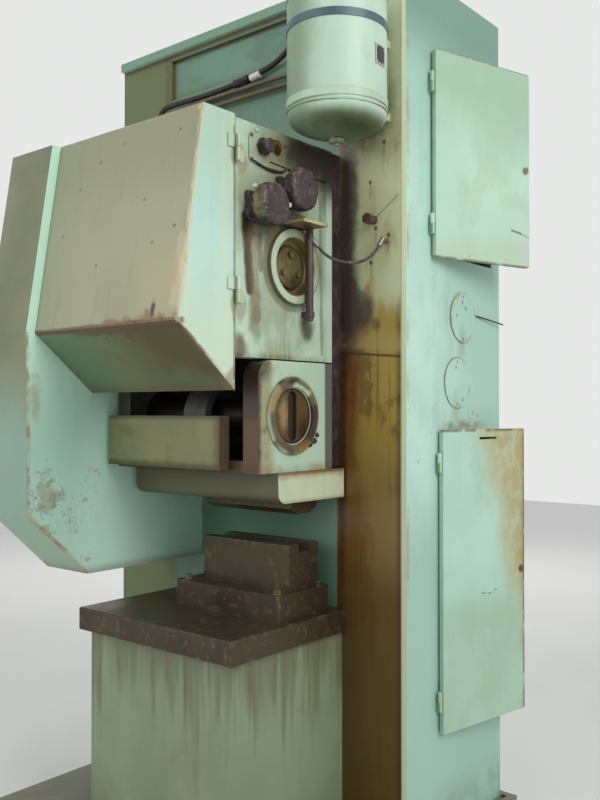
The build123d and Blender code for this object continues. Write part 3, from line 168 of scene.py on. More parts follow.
# Shader maths
class Signal:
    """A socket in a material. Python's operators on it add Math or Vector Math nodes."""

    def __init__(self, finish, socket):
        self.finish = finish
        self.socket = socket

    def math(self, operation, *terms):
        """One maths node on these terms, a vector one where any of them is a vector."""
        vector = any(isinstance(term, Signal) and term.socket.type == "VECTOR" for term in terms)
        kind = "ShaderNodeVectorMath" if vector else "ShaderNodeMath"
        output = 1 if operation in ("LENGTH", "DOT_PRODUCT") else 0
        return self.finish.node(kind, {"operation": operation}, dict(enumerate(terms)), output)

    def __add__(self, other):
        return self.math("ADD", self, other)

    __radd__ = __add__

    def __sub__(self, other):
        return self.math("SUBTRACT", self, other)

    def __rsub__(self, other):
        return self.math("SUBTRACT", other, self)

    def __mul__(self, other):
        return self.math("MULTIPLY", self, other)

    __rmul__ = __mul__

    def __truediv__(self, other):
        return self.math("DIVIDE", self, other)

    def __abs__(self):
        return self.math("ABSOLUTE", self)

    def least(self, other):
        """The smaller of the two."""
        return self.math("MINIMUM", self, other)

    def most(self, other):
        """The larger of the two."""
        return self.math("MAXIMUM", self, other)

    def dot(self, other):
        """How far one vector points along the other."""
        return self.math("DOT_PRODUCT", self, other)

    def length(self):
        """The length of a vector."""
        return self.math("LENGTH", self)

    def part(self, axis):
        """One of the three parts of a vector."""
        return self.finish.node("ShaderNodeSeparateXYZ", {}, {0: self}, axis)

    def ease(self, low, high):
        """0 below low and 1 above high, or the other way round where low is the larger."""
        ends = {"Value": self, "From Min": low, "From Max": high}
        return self.finish.node("ShaderNodeMapRange", {"interpolation_type": "SMOOTHSTEP"}, ends)


def seen(red, green, blue):
    """A colour as a screen shows it, 0 to 255, turned into the linear one that a shader takes."""
    values = [c / 255 for c in (red, green, blue)]
    return (*(c / 12.92 if c <= 0.04045 else ((c + 0.055) / 1.055) ** 2.4 for c in values), 1.0)


# Colours, as a screen shows them
MINT = (174, 211, 197)
MINT_PALE = (186, 220, 207)
MINT_DULL_AND_SHADED = (154, 192, 176)
MINT_SHADED = (112, 148, 132)
CREAM_MINT = (206, 218, 190)
OLIVE = (95, 105, 62)
DUST = (116, 118, 100)
GRIME = (122, 112, 78)
OIL_AMBER = (142, 98, 38)
OIL_BROWN = (84, 56, 30)
OIL_BLACK_AND_SHADE = (38, 30, 28)
RUST = (132, 84, 52)
RUST_PALE = (158, 132, 100)
RUST_DARK_AND_SHADE = (82, 52, 38)
PLUM_DARK = (62, 48, 50)

# Sheens: the roughness that a coat leaves
SLICK = 0.25
WET = 0.3
OILY = 0.35
GREASY = 0.4
FRESH_ENAMEL = 0.42
SATIN = 0.5
DULL = 0.6
DRY = 0.7
CHALKY = 0.8


class Finish:
    """One material: colour and sheen are laid in coats, relief is added, and seal() wires them up."""

    def __init__(self, name, colour, roughness, metallic=0.0):
        self.material = bpy.data.materials.new(name)
        self.material.use_nodes = True
        self.tree = self.material.node_tree
        self.tree.nodes.clear()
        self.place = self.node("ShaderNodeTexCoord", {}, {}, "Object")
        facing = self.node("ShaderNodeTexCoord", {}, {}, "Normal")
        self.x, self.y, self.z = (self.place.part(axis) for axis in range(3))
        self.facing_x, self.facing_y, self.facing_z = (facing.part(axis) for axis in range(3))
        self.colour = seen(*colour)
        self.roughness = roughness
        self.metallic = metallic
        self.relief = None
        self.ragged = self.noise(26, 5) - 0.5

    def node(self, kind, settings, inputs, output=0):
        """Adds a node and gives one of its outputs."""
        return Signal(self, add_node(self.tree, kind, settings, inputs, output))

    def noise(self, scale, detail, stretch=(1, 1, 1), seed=0.0, rough=0.55):
        """Clouds of one size, from 0 to 1; a larger stretch makes them narrower along that axis."""
        grain = self.place * Vector(stretch) if tuple(stretch) != (1, 1, 1) else self.place
        sockets = {"Vector": grain, "W": seed, "Scale": scale, "Detail": detail, "Roughness": rough}
        return self.node("ShaderNodeTexNoise", {"noise_dimensions": "4D"}, sockets)

    def mix(self, under, over, mask):
        """The over value laid on the under one where the mask is 1."""
        return self.node("ShaderNodeMix", {"data_type": "FLOAT"}, {0: mask, 2: under, 3: over})

    def lay(self, colour, mask, roughness=None, metallic=None):
        """A coat where the mask is 1: its colour, as the screen shows it, and its sheen."""
        # A Mix node has its sockets for two colours at 6 and 7, and those for two values at 2 and 3
        coats = {0: mask, 6: self.colour, 7: seen(*colour)}
        self.colour = self.node("ShaderNodeMix", {"data_type": "RGBA"}, coats, 2)
        if roughness is not None:
            self.roughness = self.mix(self.roughness, roughness, mask)
        if metallic is not None:
            self.metallic = self.mix(self.metallic, metallic, mask)

    def raise_by(self, height):
        """Adds to the relief, in millimetres."""
        self.relief = height if self.relief is None else self.relief + height

    def share_of(self, centre, reach):
        """How far a point lies from a centre, as a share of the reach along each axis."""
        return ((self.place - Vector(centre)) * Vector([1 / r for r in reach])).length()

    def spot(self, centre, reach, fuzz, core=0.35):
        """1 in an egg-shaped space round a point, fading out at its reach with a ragged edge."""
        return (self.share_of(centre, reach) + self.ragged * fuzz).ease(1.0, core)

    def stroke(self, start, end, width, fuzz):
        """1 along a straight stroke between two points, with a ragged edge."""
        run = Vector(end) - Vector(start)
        from_start = self.place - Vector(start)
        share = (from_start.dot(run) / run.length_squared).most(0.0).least(1.0)
        spread = self.node("ShaderNodeVectorMath", {"operation": "SCALE"}, {0: run, "Scale": share})
        away = (from_start - spread).length() / width
        return (away + self.ragged * fuzz).ease(1.0, 0.4)

    def fleck(self, centre, reach, size, cover, seed):
        """Ragged chips of one size, thickest in the middle of an egg-shaped space."""
        away = self.share_of(centre, reach)
        crumbs = self.noise(0.45 / size, 9, seed=seed, rough=0.74)
        thin = 0.66 - 0.24 * cover
        return (crumbs - away * away * 0.16).ease(thin, thin + 0.055)

    def from_axis(self, y, z):
        """The distance from a line along X."""
        return ((self.place - Vector((0, y, z))) * Vector((0, 1, 1))).length()

    def ring(self, y, z, radius, width):
        """1 along a circle round a line along X."""
        return abs(self.from_axis(y, z) - radius).ease(width, width * 0.4)

    def rim(self):
        """1 on the sharp edges of the mesh."""
        rounded = self.node("ShaderNodeBevel", {"samples": 4}, {"Radius": 0.004})
        flat = self.node("ShaderNodeNewGeometry", {}, {}, "Normal")
        return (1.0 - rounded.dot(flat)).ease(0.02, 0.16)

    def seal(self):
        """Wires the coats to the shader and gives the material."""
        relief = {"Height": self.relief, "Strength": 1.0, "Distance": 0.001}
        coats = {
            "Base Color": self.colour,
            "Roughness": self.roughness,
            "Metallic": self.metallic,
            "Normal": self.node("ShaderNodeBump", {}, relief),
        }
        surface = self.node("ShaderNodeBsdfPrincipled", {}, coats)
        add_node(self.tree, "ShaderNodeOutputMaterial", {}, {"Surface": surface}, None)
        return self.material


def enamel(name, colour, faded, grime, wear):
    """Old machine enamel: clouded colour, hanging dirt, pin chips and worn edges.

    Later coats use its four fields again: broad clouds, fine grain, streaks that hang and blots.
    """
    skin = Finish(name, colour, FRESH_ENAMEL)
    skin.cloud = skin.noise(1.9, 6, seed=3)
    skin.grain = skin.noise(19, 6, seed=8)
    skin.hang = skin.noise(1.0, 5, (26, 26, 1.9), 5)
    skin.blot = skin.noise(5.2, 7, (1, 1, 0.7), 12, 0.62)
    skin.lay(faded, skin.cloud.ease(0.40, 0.62))
    skin.lay(GRIME, (skin.hang * 0.45 + skin.blot * 0.55).ease(0.48, 0.68) * (grime * 0.34), DULL)
    skin.lay(GRIME, (skin.blot * 0.6 + skin.grain * 0.4).ease(0.54, 0.66) * (grime * 0.30), DULL)
    chip = skin.noise(75, 3, seed=21).ease(0.70, 0.725) * skin.blot.ease(0.50, 0.60) * wear
    skin.lay(RUST_DARK_AND_SHADE, chip * 0.8, CHALKY)
    rim = skin.rim() * skin.grain.ease(0.44, 0.58) * wear
    skin.lay(RUST, rim * 0.6, DRY)
    skin.lay(DUST, skin.facing_z.ease(0.55, 0.90) * (0.76 + skin.cloud.ease(0.30, 0.70) * 0.14), 0.9)
    skin.roughness = skin.roughness + (skin.grain - 0.5) * 0.2
    skin.raise_by(skin.noise(130, 2, seed=2) * 0.05 + skin.grain * 0.16 - chip * 0.14 - rim * 0.08)
    return skin


def steel(name, colour, dark, roughness, oil, cut, metallic=0.85):
    """Machined steel: tool marks along one way, under a patchy film of oil."""
    skin = Finish(name, colour, roughness, metallic)
    marks = skin.noise(3.0, 6, stretch=cut, seed=4)
    skin.blot = skin.noise(9.0, 6, seed=9)
    skin.lay(dark, marks.ease(0.35, 0.7) * 0.6)
    skin.lay(OIL_BROWN, skin.blot.ease(0.46, 0.62) * oil, WET, 0.25)
    skin.roughness = skin.roughness + (marks - 0.5) * 0.2
    skin.raise_by(marks * 0.05)
    return skin


def paint_column_sides():
    """Mint sides, duller towards the rear, darker towards the top as painted shade, with rust round the
    blanking covers.
    """
    skin = enamel("column_enamel", MINT, MINT_PALE, grime=0.45, wear=0.7)
    side = skin.facing_x.ease(0.3, 0.8)
    x = COLUMN_RIGHT
    skin.lay(MINT_DULL_AND_SHADED, side * skin.y.ease(0.20, 0.62) * 0.75)
    skin.lay(MINT_DULL_AND_SHADED, side * skin.noise(3.1, 6, (1, 1, 0.45), 31).ease(0.44, 0.60) * 0.42)
    # Painted shade: the sides darken towards the top.
    skin.lay(MINT_DULL_AND_SHADED, side * skin.z.ease(2.35, 2.85) * 0.8)
    skin.lay(MINT_SHADED, side * skin.z.ease(2.76, 3.06) * 0.95)
    # Painted shade: faces turned to the front are darker.
    skin.lay((104, 142, 114), skin.facing_y.ease(-0.4, -0.8) * 0.9)
    # Painted highlight along the side's rounded front corner.
    skin.lay((184, 190, 152), side * skin.y.ease(0.034, 0.018) * 0.9)
    skin.lay(MINT_DULL_AND_SHADED, side * skin.z.ease(1.45, 1.00) * 0.85)
    corner = side * skin.stroke((x, 0.040, 2.9), (x, 0.034, 0.5), 0.010, 1.6)
    skin.lay(RUST_PALE, corner * skin.blot.ease(0.46, 0.58) * 0.6)
    patches = (
        ((0.062, 1.600), (0.028, 0.16), 0.55),
        ((0.103, 1.430), (0.030, 0.09), 0.50),
        ((0.070, 1.900), (0.024, 0.10), 0.40),
        ((0.060, 1.130), (0.024, 0.16), 0.45),
        ((0.300, 1.840), (0.090, 0.18), 0.34),
        ((0.480, 1.575), (0.180, 0.05), 0.50),
        ((0.200, 1.540), (0.060, 0.12), 0.30),
        ((0.600, 1.880), (0.100, 0.18), 0.32),
        ((0.060, 2.280), (0.022, 0.12), 0.35),
    )
    for number, ((y, z), (wide, high), cover) in enumerate(patches):
        chips = skin.fleck((x, y, z), (0.06, wide, high), 0.011, cover, number * 3.7)
        skin.lay(RUST_PALE, chips * 0.65, DRY)
    for y, z in SIDE_COVER_PLACES:
        outline = side * skin.ring(y, z, 0.0965, 0.0030) * skin.blot.ease(0.43, 0.55)
        skin.lay(RUST, outline * 0.85, DRY)
        halo = side * skin.ring(y, z, 0.092, 0.016) * skin.grain.ease(0.50, 0.62)
        skin.lay(RUST_PALE, halo * 0.45, DRY)
        skin.lay(GRIME, skin.spot((x, y - 0.01, z - 0.10), (0.05, 0.05, 0.10), 1.0, 0.2) * 0.30)
    for y, z in ((0.415, 2.012), (0.440, 1.990), (0.372, 1.958), (0.365, 1.763), (0.415, 1.640)):
        skin.lay((98, 82, 62), skin.spot((x, y, z), (0.03, 0.010, 0.011), 1.0) * 0.7, DRY)
    lip = skin.spot((x, 0.42, 1.540), (0.06, 0.20, 0.030), 1.2, 0.2) * skin.grain.ease(0.42, 0.56)
    skin.lay((150, 128, 92), lip * 0.75, DRY)
    skin.lay(OIL_BROWN, skin.z.ease(0.26, 0.03) * skin.blot.ease(0.40, 0.60) * 0.5, DULL)
    return skin.seal()


def paint_column_front():
    """The front plate: olive and turquoise above, and a strip on the right that oil has run down."""
    skin = enamel("front_enamel", (96, 132, 112), (108, 144, 124), grime=0.8, wear=0.6)
    right = skin.x.ease(0.462, 0.474)
    wide = skin.noise(3.6, 7, (1, 1, 0.5), 17, 0.6)
    run = skin.noise(1.0, 6, (26, 1, 2.6), 19, 0.6)
    patch = skin.noise(8.5, 7, (1, 1, 0.55), 23, 0.62)
    skin.lay(OLIVE, skin.x.ease(-0.36, -0.42) * 0.9)
    skin.lay(OLIVE, (1.0 - right) * skin.z.ease(3.06, 3.125) * 0.7)
    # Painted shadow: a dark line under the lip of the top plate.
    skin.lay(RUST_DARK_AND_SHADE, (1.0 - right) * skin.z.ease(3.114, 3.122) * 0.6)
    skin.lay(OIL_BROWN, skin.stroke((-0.45, 0, 3.12), (-0.45, 0, 2.60), 0.030, 1.4) * 0.45)

    # The upper stretch keeps its paint under yellow and brown smears, and is darkened behind the receiver
    # as its painted shadow
    skin.lay((192, 197, 155), right)
    skin.lay((194, 204, 172), right * (skin.x * 2.2 + wide * 1.1).ease(1.98, 2.18) * 0.8)
    skin.lay((164, 150, 98), right * patch.ease(0.50, 0.64) * 0.55, GREASY)
    skin.lay((134, 104, 64), right * run.ease(0.55, 0.68) * 0.35, OILY)
    skin.lay((116, 88, 52), right * skin.x.ease(0.535, 0.495) * 0.6, GREASY)
    # Painted shadow of the air receiver on the plate behind it.
    skin.lay((88, 82, 50), skin.spot((0.60, 0, 2.67), (0.17, 0.2, 0.22), 0.6, 0.3) * 0.80, GREASY)

    # The lower stretch is soaked amber, redder to the left and dark along its right edge
    soaked = right * (skin.z + (patch - 0.5) * 0.40 + (wide - 0.5) * 0.40).ease(2.06, 1.90)
    skin.lay((160, 138, 62), soaked, WET)
    skin.lay((168, 136, 72), soaked * run.ease(0.46, 0.60) * 0.75, WET)
    skin.lay((98, 72, 30), soaked * patch.ease(0.50, 0.60) * 0.72, SLICK)
    skin.lay((112, 60, 26), soaked * (skin.x * -4.0 + wide).ease(-1.98, -1.72) * 0.85, SLICK)
    skin.lay((96, 74, 20), soaked * skin.z.ease(1.66, 1.30) * 0.75, WET)
    skin.lay((76, 60, 28), soaked * skin.z.ease(1.20, 0.90) * 0.75, WET)
    skin.lay(OIL_BLACK_AND_SHADE, soaked * skin.x.ease(0.716, 0.738) * 0.55, WET)
    skin.lay((72, 46, 24), soaked * skin.noise(1.0, 5, (52, 1, 1.4), 29).ease(0.56, 0.66) * 0.45, SLICK)
    ledge = skin.z + skin.x * 0.09
    groove = abs(ledge - 1.853 + skin.ragged * 0.006).ease(0.0065, 0.0030)
    skin.lay((66, 40, 26), groove * right * 0.8, GREASY)
    skin.lay((168, 152, 104), ledge.ease(1.862, 1.880) * ledge.ease(1.960, 1.900) * right * 0.5, GREASY)

    # Dark grease beside the slide rail, laid darker there also as the rail's painted shadow, and drops
    # below the fittings
    grease = (
        # Grease, and the painted shadow of the slide rail.
        ((0.505, 2.20), (0.050, 0.62), OIL_BLACK_AND_SHADE, 0.85),
        ((0.530, 1.99), (0.062, 0.24), PLUM_DARK, 0.92),
        ((0.590, 1.955), (0.060, 0.10), PLUM_DARK, 0.85),
        ((0.530, 2.36), (0.050, 0.300), PLUM_DARK, 0.80),
        ((0.640, 1.905), (0.030, 0.030), PLUM_DARK, 0.55),
        ((0.490, 1.45), (0.026, 0.70), OIL_BLACK_AND_SHADE, 0.75),
    )
    for (x, z), (reach_x, reach_z), tone, strength in grease:
        skin.lay(tone, skin.spot((x, 0, z), (reach_x, 0.2, reach_z), 0.55, 0.35) * strength, OILY)
    skin.lay((96, 74, 50), skin.stroke((0.645, 0, 2.285), (0.735, 0, 2.350), 0.006, 1.0) * 0.45, GREASY)
    for x, z in ((0.617, 2.411), (0.619, 2.124), (0.694, 2.214), (0.676, 2.545), (0.640, 2.245)):
        skin.lay((52, 38, 26), skin.spot((x, 0, z), (0.010, 0.1, 0.012), 0.8) * 0.85, GREASY)
        drip = skin.spot((x, 0, z - 0.035), (0.009, 0.1, 0.045), 0.9, 0.2)
        skin.lay((122, 100, 60), drip * 0.4, GREASY)
    # Painted highlight: a pale band along the plate's right edge, at the corner.
    skin.lay((182, 188, 150), skin.x.ease(0.742, 0.747) * 0.85)
    return skin.seal()


def paint_recess():
    """The recessed panel, turquoise, with a brown left edge and a dark band along its top painted as the
    shadow of the top plate's lip.
    """
    skin = enamel("panel_enamel", (98, 136, 116), (110, 148, 128), grime=0.7, wear=0.5)
    # Painted shadow under the top plate's lip.
    skin.lay(RUST_DARK_AND_SHADE, skin.z.ease(3.092, 3.106) * 0.8, DRY)
    skin.lay(RUST, skin.x.ease(-0.412, -0.425) * 0.6, DRY)
    skin.lay(OLIVE, skin.z.ease(2.985, 2.945) * 0.6)
    skin.lay((84, 112, 96), skin.noise(4.0, 5, (1, 1, 3), 37).ease(0.48, 0.62) * 0.5)
    return skin.seal()


def paint_hood():
    """The hood: beige front, partly painted shade, mint side, olive chin, and folds worn to primer and
    rust, the right fold also paler as a painted highlight.
    """
    skin = enamel("hood_enamel", MINT, MINT_PALE, grime=0.4, wear=0.8)
    front = skin.facing_y.ease(-0.55, -0.80)
    chin = skin.facing_z.ease(-0.25, -0.55)
    side = skin.facing_x.ease(0.4, 0.8)
    shade = skin.noise(2.2, 5, (1, 1, 0.8), 43)
    skin.lay(CREAM_MINT, side * skin.noise(1.0, 4, (4, 24, 1.1), 41).ease(0.50, 0.62) * 0.55)
    skin.lay(CREAM_MINT, side * skin.z.ease(2.15, 1.75) * 0.6)
    skin.lay((166, 190, 162), side * skin.z.ease(2.20, 2.50) * 0.5)
    # The front faces: yellowed paint, painted darker as shade on faces turned from the light, darker to
    # the left and lighter low on the right.
    skin.lay((148, 152, 124), front)
    skin.lay((160, 161, 133), front * shade.ease(0.42, 0.62) * 0.8)
    skin.lay((140, 146, 120), front * skin.x.ease(0.05, -0.24) * 0.55)
    skin.lay((134, 138, 110), front * skin.z.ease(2.20, 2.45) * 0.6)
    skin.lay((136, 134, 104), front * skin.hang.ease(0.54, 0.66) * 0.30)
    skin.lay((178, 170, 138), front * skin.z.ease(2.20, 1.95) * skin.x.ease(0.10, 0.45) * 0.6)
    skin.lay((106, 122, 88), chin)
    skin.lay((66, 63, 12), chin * skin.x.ease(0.02, 0.34) * 0.9)
    skin.lay((88, 118, 92), chin * shade.ease(0.46, 0.60) * 0.6)
    chin_top = chin * (skin.z + skin.ragged * 0.03).ease(1.838, 1.850) * skin.x.ease(-0.10, 0.05)
    skin.lay((76, 54, 34), chin_top * 0.8)
    flaked = skin.fleck((0.22, -0.77, 1.83), (0.28, 0.05, 0.03), 0.020, 0.75, 5)
    skin.lay((92, 66, 42), chin * flaked * 0.65, CHALKY)
    rub = skin.stroke((0.05, -0.73, 1.79), (0.17, -0.62, 1.69), 0.022, 1.3)
    skin.lay((112, 84, 52), chin * rub * 0.45)
    skin.lay(OIL_BROWN, chin * skin.z.ease(1.70, HOOD_LOW_Z) * 0.4, SATIN)

    # The knee fold, dark with rust, and the right fold, worn to cream primer and made paler still as a
    # painted highlight
    knee = abs(skin.z + (skin.ragged * 0.014) - HOOD_KNEE_Z).ease(0.0125, 0.0045)
    knee = knee * skin.y.ease(-0.770, -0.790)
    skin.lay((98, 78, 66), knee * 0.9, 0.75)
    rust_band = (skin.z - HOOD_KNEE_Z) / (0.014 + 0.030 * skin.x.ease(0.0, 0.36))
    band = front * (rust_band + (skin.grain - 0.5) * 3.2).ease(1.0, 0.2) * skin.x.ease(-0.12, 0.12)
    skin.lay((128, 104, 78), band * 0.75, CHALKY)
    flaked = skin.fleck((0.33, -0.80, 1.872), (0.16, 0.05, 0.022), 0.010, 0.70, 11)
    skin.lay(RUST_DARK_AND_SHADE, front * flaked * 0.6, CHALKY)
    skin.lay(RUST_DARK_AND_SHADE, skin.spot((0.372, -0.803, 1.905), (0.014, 0.05, 0.036), 1.4) * 0.85, CHALKY)
    fold_top, fold_low = (CHEEK_RIGHT, HOOD_TOP_Y, HOOD_TOP_Z), (CHEEK_RIGHT, HOOD_KNEE_Y, HOOD_KNEE_Z)
    fold = skin.stroke(fold_top, fold_low, 0.016, 1.0)
    skin.lay((206, 196, 168), fold * (0.35 + skin.grain.ease(0.42, 0.55) * 0.5), DULL)
    skin.lay(RUST_PALE, fold * skin.blot.ease(0.50, 0.58) * 0.6, DRY)
    bare = skin.stroke((0.470, -0.770, 2.115), (0.466, -0.793, 1.930), 0.030, 1.2)
    skin.lay((206, 194, 164), front * bare * (0.4 + skin.blot.ease(0.44, 0.56) * 0.6))
    worn = skin.spot((0.455, -0.785, 2.02), (0.016, 0.08, 0.07), 1.3)
    skin.lay((178, 150, 116), front * worn * 0.6, DRY)
    worn = skin.spot((0.478, -0.702, 2.528), (0.014, 0.05, 0.012), 1.0)
    skin.lay((196, 186, 154), front * worn * 0.9)
    skin.lay((176, 172, 142), front * skin.z.ease(2.528, 2.538) * skin.grain.ease(0.46, 0.58) * 0.5)
    lip_top, lip_low = (CHEEK_RIGHT, -0.795, 1.852), (CHEEK_RIGHT, HOOD_REAR_Y, HOOD_LOW_Z)
    lip = skin.stroke(lip_top, lip_low, 0.013, 1.4)
    skin.lay((132, 104, 78), lip * (0.35 + skin.blot.ease(0.46, 0.56) * 0.6), DRY)
    corner = skin.spot((CHEEK_RIGHT, -0.575, 1.69), (0.05, 0.035, 0.060), 1.5)
    skin.lay((142, 112, 82), corner * 0.6, DRY)
    seam_top, seam_low = (CHEEK_RIGHT, HOOD_REAR_Y, 2.50), (CHEEK_RIGHT, HOOD_REAR_Y, 1.70)
    seam = skin.stroke(seam_top, seam_low, 0.0035, 1.0)
    skin.lay((96, 80, 64), seam * 0.75, DRY)
    for z in (2.40, 1.93):
        knuckle = skin.spot((CHEEK_RIGHT, -0.560, z), (0.05, 0.024, 0.060), 1.0, 0.5)
        skin.lay((138, 124, 94), knuckle * 0.7, DRY)
    for number, (x, z) in enumerate(HOOD_DENTS):
        share = (HOOD_TOP_Z - z) / (HOOD_TOP_Z - HOOD_KNEE_Z)
        depth = HOOD_TOP_Y + (HOOD_KNEE_Y - HOOD_TOP_Y) * share
        pit = skin.spot((x, depth, z), (0.010, 0.03, 0.008), 1.1)
        skin.lay((92, 88, 64), pit * (0.5 + 0.05 * (number % 5)), DRY)
        skin.raise_by(pit * -0.9)
    skin.raise_by(shade * 1.4)
    return skin.seal()


def paint_guard():
    """The flywheel guard: olive-beige front, partly painted shade, turquoise inner side with rust along
    the low fold.
    """
    skin = enamel("guard_enamel", (198, 238, 216), (205, 242, 222), grime=0.3, wear=0.7)
    front = skin.facing_y.ease(-0.55, -0.80)
    x = HEAD_LEFT
    # The front faces are painted darker and browner, partly as shade on faces turned from the light.
    skin.lay((106, 112, 86), front)
    skin.lay((126, 130, 102), front * skin.cloud.ease(0.44, 0.60) * 0.8)
    skin.lay((150, 170, 132), skin.facing_z.ease(-0.30, -0.70) * 0.9)
    skin.lay(MINT, skin.facing_x.ease(-0.4, -0.8) * 0.6)
    skin.lay((150, 190, 176), skin.y.ease(-0.45, -0.70) * skin.z.ease(1.85, 1.45) * 0.6)
    low = skin.stroke((x, -0.828, 1.236), (x, -0.585, 1.004), 0.014, 1.4)
    skin.lay((176, 176, 138), low * 0.8, DULL)
    skin.lay(RUST, low * skin.blot.ease(0.50, 0.60) * 0.8, DRY)
    fold = skin.stroke((x, -0.838, 1.860), (x, -0.826, 1.240), 0.012, 1.4)
    skin.lay((150, 132, 104), fold * (0.25 + skin.grain.ease(0.46, 0.58) * 0.6), DRY)
    beside = skin.stroke((x, -0.820, 1.700), (x, -0.812, 1.260), 0.046, 1.3)
    skin.lay((158, 144, 108), beside * skin.blot.ease(0.42, 0.58) * 0.65, DRY)
    clusters = (
        ((-0.745, 1.300), (0.12, 0.13), 0.030, 0.80),
        ((-0.640, 1.220), (0.12, 0.14), 0.024, 0.66),
        ((-0.560, 1.330), (0.10, 0.12), 0.016, 0.50),
        ((-0.770, 1.180), (0.10, 0.06), 0.026, 0.75),
        ((-0.600, 1.060), (0.08, 0.05), 0.018, 0.60),
        ((-0.700, 1.420), (0.12, 0.12), 0.012, 0.30),
    )
    for number, ((y, z), (wide, high), size, cover) in enumerate(clusters):
        chips = skin.fleck((x, y, z), (0.06, wide, high), size, cover, number * 5.3)
        skin.lay((152, 134, 100), chips * 0.50, CHALKY)
        dark = skin.fleck((x, y, z), (0.06, wide, high), size * 0.5, cover - 0.10, number * 5.3 + 1)
        skin.lay((116, 88, 62), dark * 0.45, CHALKY)
    skin.lay(GRIME, skin.z.ease(GUARD_LOW_Z + 0.04, GUARD_LOW_Z) * 0.5)
    skin.lay(OIL_BROWN, skin.spot((x, -0.10, 1.55), (0.05, 0.16, 0.42), 0.9, 0.1) * 0.35, GREASY)
    return skin.seal()


def paint_cheeks():
    """Head cheeks: grey-green, yellow with oil mist, wet below the valves, and dark under the air
    receiver with oil and its painted shadow.
    """
    skin = enamel("head_enamel", (152, 174, 152), (166, 188, 166), grime=0.7, wear=0.7)
    x = CHEEK_RIGHT
    side = skin.facing_x.ease(0.3, 0.8)
    smear = skin.noise(4.2, 7, (1, 1, 0.6), 29, 0.6)
    skin.lay((182, 208, 186), side * skin.y.ease(-0.40, -0.52) * 0.8)
    skin.lay((188, 210, 192), side * skin.z.ease(2.06, 1.96) * smear.ease(0.58, 0.44) * 0.7)
    skin.lay((136, 134, 92), side * smear.ease(0.50, 0.64) * 0.50, 0.45)
    stains_and_receiver_shadow = (
        ((-0.290, 2.440), (0.28, 0.140), (120, 118, 78), 0.78, 0.7),
        ((-0.360, 2.270), (0.23, 0.160), (146, 140, 96), 0.55, 0.7),
        # These two rows: the painted shadow of the air receiver over oil, on the cheek's upper rear.
        ((-0.140, 2.480), (0.26, 0.150), (52, 52, 32), 0.95, 0.4),
        ((-0.200, 2.470), (0.20, 0.090), OIL_BLACK_AND_SHADE, 0.75, 0.4),
        ((-0.080, 2.410), (0.07, 0.200), OIL_BLACK_AND_SHADE, 0.72, 0.5),
        ((-0.400, 2.235), (0.15, 0.110), (60, 46, 34), 0.85, 0.6),
        ((-0.300, 2.300), (0.11, 0.100), (56, 44, 40), 0.85, 0.6),
        ((-0.500, 2.190), (0.045, 0.060), OIL_BLACK_AND_SHADE, 0.85, 0.8),
        ((-0.200, 1.885), (0.055, 0.065), (56, 48, 36), 0.85, 1.0),
        ((-0.465, 1.905), (0.050, 0.110), (108, 114, 84), 0.75, 1.0),
        ((-0.535, 1.800), (0.040, 0.060), OIL_BROWN, 0.80, 1.0),
    )
    for (y, z), (reach_y, reach_z), tone, strength, fuzz in stains_and_receiver_shadow:
        stain = skin.spot((x, y, z), (0.08, reach_y, reach_z), fuzz, 0.3)
        skin.lay(tone, stain * side * strength, GREASY)
    runs = (
        ((-0.512, 2.22), (-0.492, 1.99), 0.028, (62, 42, 30), 0.95),
        ((-0.480, 2.19), (-0.462, 1.90), 0.030, (122, 96, 62), 0.55),
        ((-0.448, 2.17), (-0.440, 2.06), 0.016, (92, 70, 44), 0.60),
        ((-0.130, 2.44), (-0.118, 1.80), 0.012, (90, 76, 60), 0.45),
    )
    for (y0, z0), (y1, z1), width, tone, strength in runs:
        skin.lay(tone, skin.stroke((x, y0, z0), (x, y1, z1), width, 0.8) * strength, WET)
    for z in (2.40, 1.93):
        leaf = skin.spot((x, -0.535, z), (0.05, 0.032, 0.066), 0.8, 0.6)
        skin.lay((140, 128, 98), leaf * 0.6, DRY)
    seep = side * skin.ring(CRANK_Y, CRANK_Z, 0.140, 0.020) * smear.ease(0.42, 0.54)
    skin.lay((96, 88, 50), seep * 0.6, WET)
    skin.lay(GRIME, side * skin.z.ease(1.99, 1.93) * skin.hang.ease(0.50, 0.62) * 0.35, GREASY)
    soaked = side * skin.z.ease(1.795, 1.772) * (0.3 + skin.hang.ease(0.44, 0.58) * 0.5)
    skin.lay(OIL_BROWN, soaked * 0.7, SATIN)
    skin.lay((150, 132, 100), skin.z.ease(2.518, 2.528) * skin.grain.ease(0.42, 0.55) * 0.6)
    skin.lay((190, 210, 190), side * skin.y.ease(-0.105, -0.085) * skin.z.ease(2.40, 2.30) * 0.7)
    skin.lay(OIL_BROWN, skin.facing_y.ease(-0.3, -0.8) * 0.5, GREASY)
    return skin.seal()


